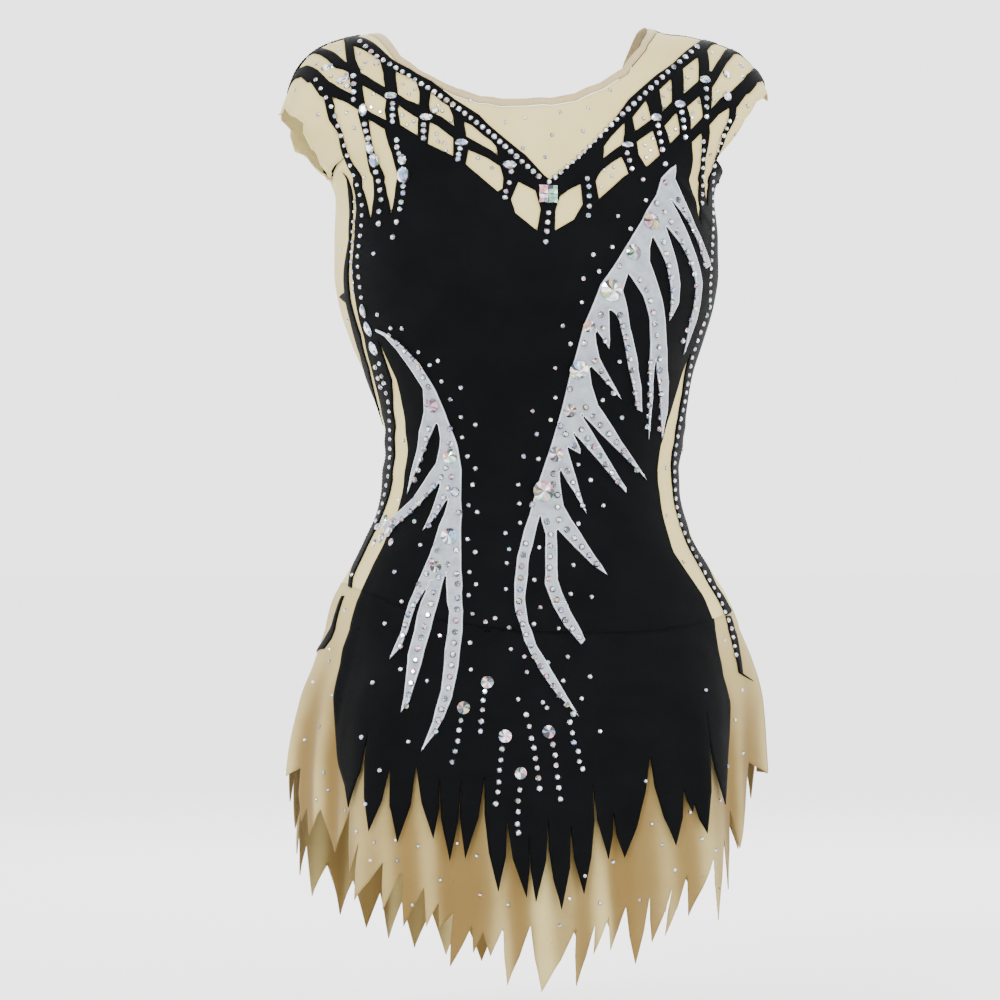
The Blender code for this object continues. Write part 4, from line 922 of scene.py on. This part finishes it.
COLUMNS = (
    (353.4, 75.9), (353.4, 83.9), (353.4, 91.8), (353.4, 99.4),
    (364.4, 124), (365.7, 131), (368, 138.4), (375.8, 172), (378.4, 181),
    (380, 190), (381, 199.7), (379, 211.5), (378.5, 224), (392.5, 103.6),
    (392.5, 108.8), (392.5, 115.6), (392.5, 121.4), (396.5, 140),
    (396.8, 147), (398.8, 153.3), (403, 186), (403, 193), (401, 202),
    (399.7, 209), (396.5, 221.7), (392.7, 237), (423.5, 125), (423.5, 131),
    (423.5, 138), (460, 148.6), (458.7, 154.5), (457.6, 159),
    (511.3, 171.6), (509.2, 182.6), (506, 191.3), (505, 197.6),
    (548.6, 212.8), (547.8, 222.3), (546.8, 231.4), (545.9, 241.7),
    (587.4, 178.6), (588.8, 186.4), (589.2, 196), (589.4, 206),
    (588.6, 215.4), (627, 153), (629.6, 160.3), (631.9, 168.6),
    (657.9, 125.5), (659.5, 133), (661, 141.6), (662.5, 149.4),
    (665.4, 163.8), (681.8, 112.3), (683.3, 120), (683.9, 127.6),
    (685.4, 137), (706.2, 89), (706.5, 98), (706.7, 107), (706.5, 116.6),
    (379.6, 363.5), (375.5, 367), (382, 376), (378.4, 378), (384.2, 383),
    (380.8, 386.7),
    (484.8, 691.4), (483, 700.4), (482.5, 709.7), (481.2, 721.5),
    (480.4, 731.4), (502, 749), (501, 760), (499.7, 770), (499, 782),
    (498, 792), (495.7, 804), (526.3, 714.7), (529.2, 726.4),
    (531.5, 738.2), (534, 748), (535.5, 758.5), (537.2, 768), (538.5, 778),
    (539.7, 788.5), (519.8, 790), (518, 801), (518.3, 811.7),
    (517.5, 824), (518.6, 833), (553, 744.5), (555.2, 755), (556, 765.4),
    (557.5, 777), (558.8, 787.8), (560.5, 799), (573.2, 714), (570, 722),
    (572.4, 733), (574, 742.6), (578.3, 751.4), (579.3, 761.6),
    (582.7, 769), (460.8, 720.5), (458.8, 730), (457.8, 741), (455, 751.5),
    (452, 762),
)
FLAME_RUNS = (
    ((664.2, 212.5), (678.3, 233), (689.2, 256.3), (694.5, 273.8),
     (696.7, 292.5), (694.7, 311.7), (682.5, 340.8)),
    ((678.3, 199.7), (690.5, 222.5), (700.3, 245), (704.2, 264)),
    ((663.3, 242), (669.7, 269.2), (673.3, 292.5), (670.8, 314.2)),
    ((640, 280), (648, 291.3), (654.2, 315.8), (659, 350), (661.2, 393.7),
     (659.2, 429.2)),
    ((650.3, 361.7), (650, 388), (649.2, 411.7), (647.5, 427)),
    ((620, 315), (627, 342), (632.2, 370.3), (637, 404)),
    ((600.8, 314.7), (605.3, 340.8)),
    ((594.5, 360.8), (607, 380), (613.7, 393.3)),
    ((585.8, 407.5), (599.7, 424.5), (614.2, 439.2), (625.8, 454.2),
     (636.7, 470)),
    ((581.3, 429.7), (595.3, 449.2), (607.5, 466.7), (617.8, 481.7)),
    ((567.5, 470.8), (576.7, 490.8), (582.5, 505.8)),
    ((567, 529.6), (582, 547), (596.6, 564)),
    ((550.6, 534.4), (550, 556.6), (549, 579.6), (556.6, 600.4),
     (565.4, 620.6), (579.4, 637)),
    ((525.6, 543.6), (521.4, 566.6), (518.6, 610), (524, 629), (534, 656),
     (546, 675.4), (560.4, 697), (574, 713.6)),
    ((388.8, 335.5), (404.5, 350.5), (418.8, 367.5), (428.3, 386.8)),
    ((428.8, 428.8), (423.8, 450), (415, 480)),
    ((441.3, 477), (428.8, 491.8), (415.8, 506.3), (392.5, 527)),
    ((448, 488), (439.5, 505.5), (428.8, 525.5)),
    ((418.8, 584.5), (418.8, 595), (407.5, 616.3), (400, 646.3)),
    ((433.8, 592.5), (429.5, 610.5), (418.3, 645.8), (413.8, 669.5),
     (406.3, 706.3)),
    ((457.5, 598), (455.8, 625), (453, 652.5), (448.8, 686.3),
     (441.8, 707.5), (435.5, 731.3)),
)
ON_FLAMES = (
    (665.3, 182.5), (656.3, 203.3), (619.2, 265.8), (584.5, 343.3),
    (570, 389.2), (560, 425.8), (565.8, 434.2), (574.2, 445.8),
    (553.6, 473.6), (553, 484.4), (557.4, 495), (532, 504.4), (557.4, 507),
    (559.4, 520), (547, 521.4), (450, 428.8), (449.5, 444.3), (445.8, 468),
    (451.3, 477), (458.8, 512.5), (456.3, 550), (437.5, 550.5),
    (431.3, 561.3), (447.5, 564.3), (426.3, 573.8), (438.8, 577),
    (456.3, 573.8), (457.5, 583.8),
)
SCATTERED = (
    (643, 179.5), (645.9, 200.3), (618, 216), (630.8, 228.8), (612.4, 247),
    (593.5, 254.6), (599, 271.5), (583.6, 278.7), (581.9, 302.4),
    (562.9, 326), (570.6, 344), (555.2, 368), (619.7, 361.6),
    (555.4, 397.5), (602.7, 400), (532.5, 411), (550.7, 420), (622, 417.6),
    (536.8, 434), (523.7, 456.4), (538.5, 459), (578.3, 464.4),
    (590.8, 480), (518.3, 484.7), (519.2, 503.5), (603.4, 505.4),
    (520, 522.7), (578.5, 523.6), (505.4, 533), (539.2, 547.3),
    (509.3, 549.2), (506.6, 563), (573.4, 565), (534.3, 580), (506, 589),
    (570.7, 594), (591.9, 596.8), (540.4, 607.3), (495, 618.2),
    (485.4, 621.8), (509, 627.6), (534, 624), (558.7, 628.4),
    (511, 649.2), (524.4, 656.5), (567.8, 656.7), (548, 662.5),
    (526.8, 672), (590.1, 676.6), (563.2, 680.8), (581.6, 698.6),
    (518.3, 699.3), (543, 702.3), (546.8, 707.8), (600, 731.3),
    (467.5, 456.3), (475.3, 468.3), (472.6, 484.8), (468.5, 505.2),
    (477.3, 512.2), (467.5, 539.2), (475, 552), (469.5, 572.2),
    (476, 584.3), (468.5, 595), (472.6, 613.8), (470.1, 642.7),
    (470.9, 669.6), (414.4, 521.3), (420.2, 545), (394.4, 571.7),
    (401.5, 601.6), (384.7, 623.5), (439.9, 635.7), (400.4, 669.2),
    (427, 680.8), (372.7, 682.7), (361.3, 737.2), (379.5, 770.2),
    (408.2, 741.6), (378.8, 223), (396.2, 222.5), (392.9, 237.2),
    (373.6, 253.7), (377.3, 314.7), (390.9, 328), (401.7, 328.6),
    (418.4, 352.2), (438, 361), (429.5, 365), (441.5, 381.4),
    (460.7, 387.8), (450.2, 399.6), (460.9, 417), (475.3, 424.6),
    (462, 437.4),
)
ON_NUDE = (
    (666, 468), (666.9, 516), (683.2, 561.8), (725, 640.6), (323.4, 772.6),
    (319.5, 726.5), (313.2, 682), (332.2, 695.5), (329.3, 649),
    (329.4, 661.5), (365.4, 804), (356.8, 831.4), (374, 842), (396, 840),
    (397.2, 860.5), (369.5, 860.5), (418, 846), (457.4, 843.4),
    (476.5, 855.5), (743, 753), (728, 766), (702, 839), (646, 781),
    (652, 824), (675, 870), (613, 862), (585, 876), (570, 899), (600, 903),
    (525, 118), (552, 135), (523, 148), (545, 157), (583, 131), (505, 122),
    (588, 108), (560, 112), (470, 100), (610, 90), (478, 158), (492, 168),
    (604, 170), (612, 176), (601, 187), (614, 167),
    # windows of the left-hand shoulder
    (338.5, 50.7), (329.4, 44.9), (308.7, 58.1), (317.3, 63.9),
    (331.1, 76.5), (358.6, 53.5), (365.5, 62.7), (361.5, 68.5),
    (373.6, 94.3), (371.3, 107.5), (380.4, 112.1), (402.8, 84.5),
    (409.1, 94.3), (414.9, 89.7), (402.3, 115), (406.9, 124.7),
    (413.7, 121.3), (438.4, 105.2), (442.4, 110.9), (451, 120.7),
    (436.7, 133.9), (438.4, 141.4), (444.2, 143.1), (445.9, 150.5),
    (294.9, 90.3), (317.9, 114.4), (346.6, 112.7), (354, 128.1),
    (364.4, 176.9),
    # windows of the right-hand shoulder
    (712.1, 53.3), (691.5, 68), (687.2, 77.7), (684.5, 89.1),
    (669.3, 89.1), (663.3, 96.2), (663.3, 106.5), (643.3, 118.4),
    (692.6, 112.4), (699.1, 102.1), (692, 117.8), (675.2, 129.2),
    (668.7, 135.2), (742.5, 76.6), (717.5, 91.3), (713.8, 100),
    (747.4, 105.9), (736.5, 116.8), (735.4, 134.7), (644.9, 145),
    (650.3, 150.4), (646, 157.4), (652.5, 138.5), (710.5, 154.7),
    # sides and skirts
    (341, 250), (348, 320), (352, 350), (365, 400), (372, 450), (362, 540),
    (352, 575), (345, 610), (404, 440), (399, 500), (690, 390), (682, 450),
    (706, 690), (690, 812), (720, 800), (560, 925), (508, 905), (530, 930),
    (480, 895), (440, 880), (412, 905), (380, 890), (345, 810), (328, 790),
    (305, 740), (316, 800), (640, 900), (662, 845), (735, 720), (742, 690),
    (716, 850),
)
# ovals: x, y, width, height, turn in degrees
OVALS = (
    (363, 109.8, 9, 13, 0), (369.3, 148, 8.5, 13, 8), (373.8, 160.5, 11, 15,
     0), (401.9, 159.4, 9, 11, 0), (402.9, 175, 13, 17, 0),
    (363, 311, 8, 14, 0), (368, 329, 9, 16, 10), (373.5, 348.5, 10, 15, 10),
    (390.4, 95.3, 13, 7.5, 0), (426.3, 116.7, 13, 7.5, 0),
    (461.4, 142.1, 13, 7.5, 0), (509.6, 164.5, 14, 9, 0),
    (627.9, 144.4, 12.5, 6, 0), (656.3, 117.2, 12, 9, 0),
    (680.2, 103.9, 12, 8.5, 0), (705.2, 79.4, 12, 9, 0),
    (726.6, 74.6, 8, 11, 0), (727.5, 96.1, 9, 11, 0), (455, 492, 10, 10, 0),
    (385, 520, 9, 13, 30), (378, 527, 12, 8, 20), (389, 531, 8, 13, -20),
    (381, 538, 8, 12, 15), (393, 521, 8, 11, 60),
    (374, 543, 7, 10, 40), (391, 542, 6, 9, 0), (325.9, 67.9, 11, 8, 0),
    (332, 66, 5, 8, 20), (340.8, 80.5, 9, 9, 0), (346.6, 76.5, 6, 12, 0),
    (347.2, 86, 7, 6, 0), (376.4, 63.9, 6, 6, 0), (434.4, 110.9, 9, 7, 0),
    (741.4, 65.8, 6, 6, 0),
)
# the neck's four square stones: column, row and shares of the tints
NECK_SQUARES = (
    (-1, 1, (0.1, 0.75, 0, 0.05, 0, 0, 0.1, 0)),
    (1, 1, (0.1, 0, 0.8, 0, 0, 0, 0.1, 0)),
    (-1, -1, (0.4, 0.3, 0, 0, 0, 0.3, 0, 0)),
    (1, -1, (0, 0, 0.6, 0, 0.3, 0.1, 0, 0)),
)
SMALL, SMALLER, ON_MESH, ON_FLAME = 6.0, 5.0, 4.3, 6.6
NECK_SPACING, FLAME_SPACING = 7.6, 11.5
SMALL_SIDES, OVAL_SIDES, LARGE_SIDES = 9, 12, 14
SMALL_RISE, OVAL_RISE, LARGE_RISE = 0.36, 0.34, 0.3
SQUARE_WIDTH, SQUARE_RISE, SQUARE_STEP, SQUARE_TURN = 10.2, 3.0, 3.7, -8
SUNK, LARGE_TILT = 0.12, 0.1
SIZE_RANGE, TILT_RANGE = (0.92, 1.06), (0, 0.8)
STRIP_SEED, OVAL_SEED = 20, 5


def stones(bm, name):
    """Turn a bmesh of stones into a piece."""
    bmesh.ops.recalc_face_normals(bm, faces=bm.faces)
    made = piece(bm, name, CRYSTALS, smooth=False)
    return made


def row_of_stones(name, places, size, seed, shares=FACET_SHARES,
                  tops=TOP_SHARES):
    """Small round stones, each on the cloth seen at its place."""
    pick = np.random.default_rng(seed)
    bm = bmesh.new()
    for x, y in places:
        spot, normal = seat(x, y)
        if spot is None:
            continue
        wide = size * MM_PER_PIXEL * pick.uniform(*SIZE_RANGE)
        tilt = pick.uniform(*TILT_RANGE)
        add_cut_stone(bm, seated(spot, normal, tilt), wide, wide,
                      wide * SMALL_RISE, SMALL_SIDES, pick, shares, tops)
    stones(bm, name)


row_of_stones("stones_neck_left", evenly(V_ROWS[0], NECK_SPACING), SMALL, 11)
row_of_stones("stones_neck_right", evenly(V_ROWS[1], NECK_SPACING), SMALL, 12)
row_of_stones("stones_columns", COLUMNS, SMALL, 13)
row_of_stones("stones_scattered", SCATTERED, SMALLER, 14)
row_of_stones("stones_on_mesh", ON_NUDE, ON_MESH, 15)
for number, (run, spacing) in enumerate(RUNS, 1):
    row_of_stones(f"stones_strip_{number}", evenly(run, spacing), SMALLER,
                  STRIP_SEED + number)
row_of_stones("stones_flames", [p for run in FLAME_RUNS
                                for p in evenly(run, FLAME_SPACING)]
              + list(ON_FLAMES), ON_FLAME, 16, ON_SATIN, SATIN_TOPS)

pick = np.random.default_rng(OVAL_SEED)
bm = bmesh.new()
for x, y, wide, tall, turn in OVALS:
    spot, normal = seat(x, y)
    add_cut_stone(bm, seated(spot, normal, math.radians(turn)),
                  wide * MM_PER_PIXEL, tall * MM_PER_PIXEL,
                  min(wide, tall) * MM_PER_PIXEL * OVAL_RISE, OVAL_SIDES,
                  pick)
stones(bm, "stones_oval")

for name in sorted(n for n in NODES if n.startswith("stone_")):
    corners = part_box(name)
    middle = (Vector(corners[0]) + Vector(corners[1])) / 2
    place = seated(*CLOTH_TREE.find_nearest(middle)[:2], LARGE_TILT)
    wide = max(corners[1][i] - corners[0][i] for i in (0, 2)) / MM
    bm = bmesh.new()
    if name == "stone_neck":
        for column, row, tints in NECK_SQUARES:
            corner = place @ Matrix.Rotation(
                math.radians(SQUARE_TURN), 4, "Z") @ Matrix.Translation(
                (column * SQUARE_STEP * MM, row * SQUARE_STEP * MM, 0))
            turned = corner @ Matrix.Rotation(math.pi / 4, 4, "Z")
            add_point_stone(bm, turned, SQUARE_WIDTH, SQUARE_RISE, 4, pick,
                            tints)
    else:
        add_point_stone(bm, place, wide, wide * LARGE_RISE, LARGE_SIDES,
                        pick, LARGE_SHARES)
    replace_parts(stones(bm, "cut_" + name), name)


# Studio
FLOOR_LEVEL = -0.80
FLOOR_SIZE = 60.0
FLOOR_COLOUR = (0.95, 0.95, 0.94)
SURROUNDINGS = 3.0
AIM = (0, 0, -0.35)
# lights: place (m), power (W) and size (m)
LIGHTS = {"key": ((-1.6, -2.6, 1.5), 80, 0.7),
          "fill": ((2.2, -2.0, 0.5), 32, 1.2),
          "rear": ((0.6, 2.8, 1.4), 50, 1.2)}


def in_scene(name, data):
    """Object for a mesh, lamp or camera, linked into the scene."""
    obj = bpy.data.objects.new(name, data)
    bpy.context.scene.collection.objects.link(obj)
    return obj


def pale_floor():
    """Large pale floor under the garment."""
    bm = bmesh.new()
    bmesh.ops.create_grid(bm, x_segments=8, y_segments=8,
                          size=FLOOR_SIZE / 2)
    mesh = bpy.data.meshes.new("floor")
    bm.to_mesh(mesh)
    bm.free()
    mesh.materials.append(new_material("floor", FLOOR_COLOUR,
                                       roughness=0.9, specular=0.1)[0])
    obj = in_scene("floor", mesh)
    obj.location.z = FLOOR_LEVEL


def soft_light(name, place, power, size):
    """Square area light turned to the garment."""
    lamp = bpy.data.lights.new(name, "AREA")
    lamp.energy = power
    lamp.size = size
    obj = in_scene(name, lamp)
    obj.location = place
    obj.rotation_euler = (Vector(AIM) - Vector(place)).to_track_quat(
        "-Z", "Y").to_euler()


pale_floor()
world = bpy.data.worlds.new("studio")
world.use_nodes = True
back = world.node_tree.nodes["Background"]
back.inputs["Color"].default_value = (1.0, 1.0, 1.0, 1.0)
back.inputs["Strength"].default_value = SURROUNDINGS
bpy.context.scene.world = world
for name, (place, power, size) in LIGHTS.items():
    soft_light(name, place, power, size)
data = bpy.data.cameras.new("camera")
data.lens = LENS
data.clip_end = 100.0
camera = in_scene("camera", data)
camera.location = EYE
camera.rotation_euler = EYE_FORWARD.to_track_quat("-Z", "Y").to_euler()
bpy.context.scene.camera = camera
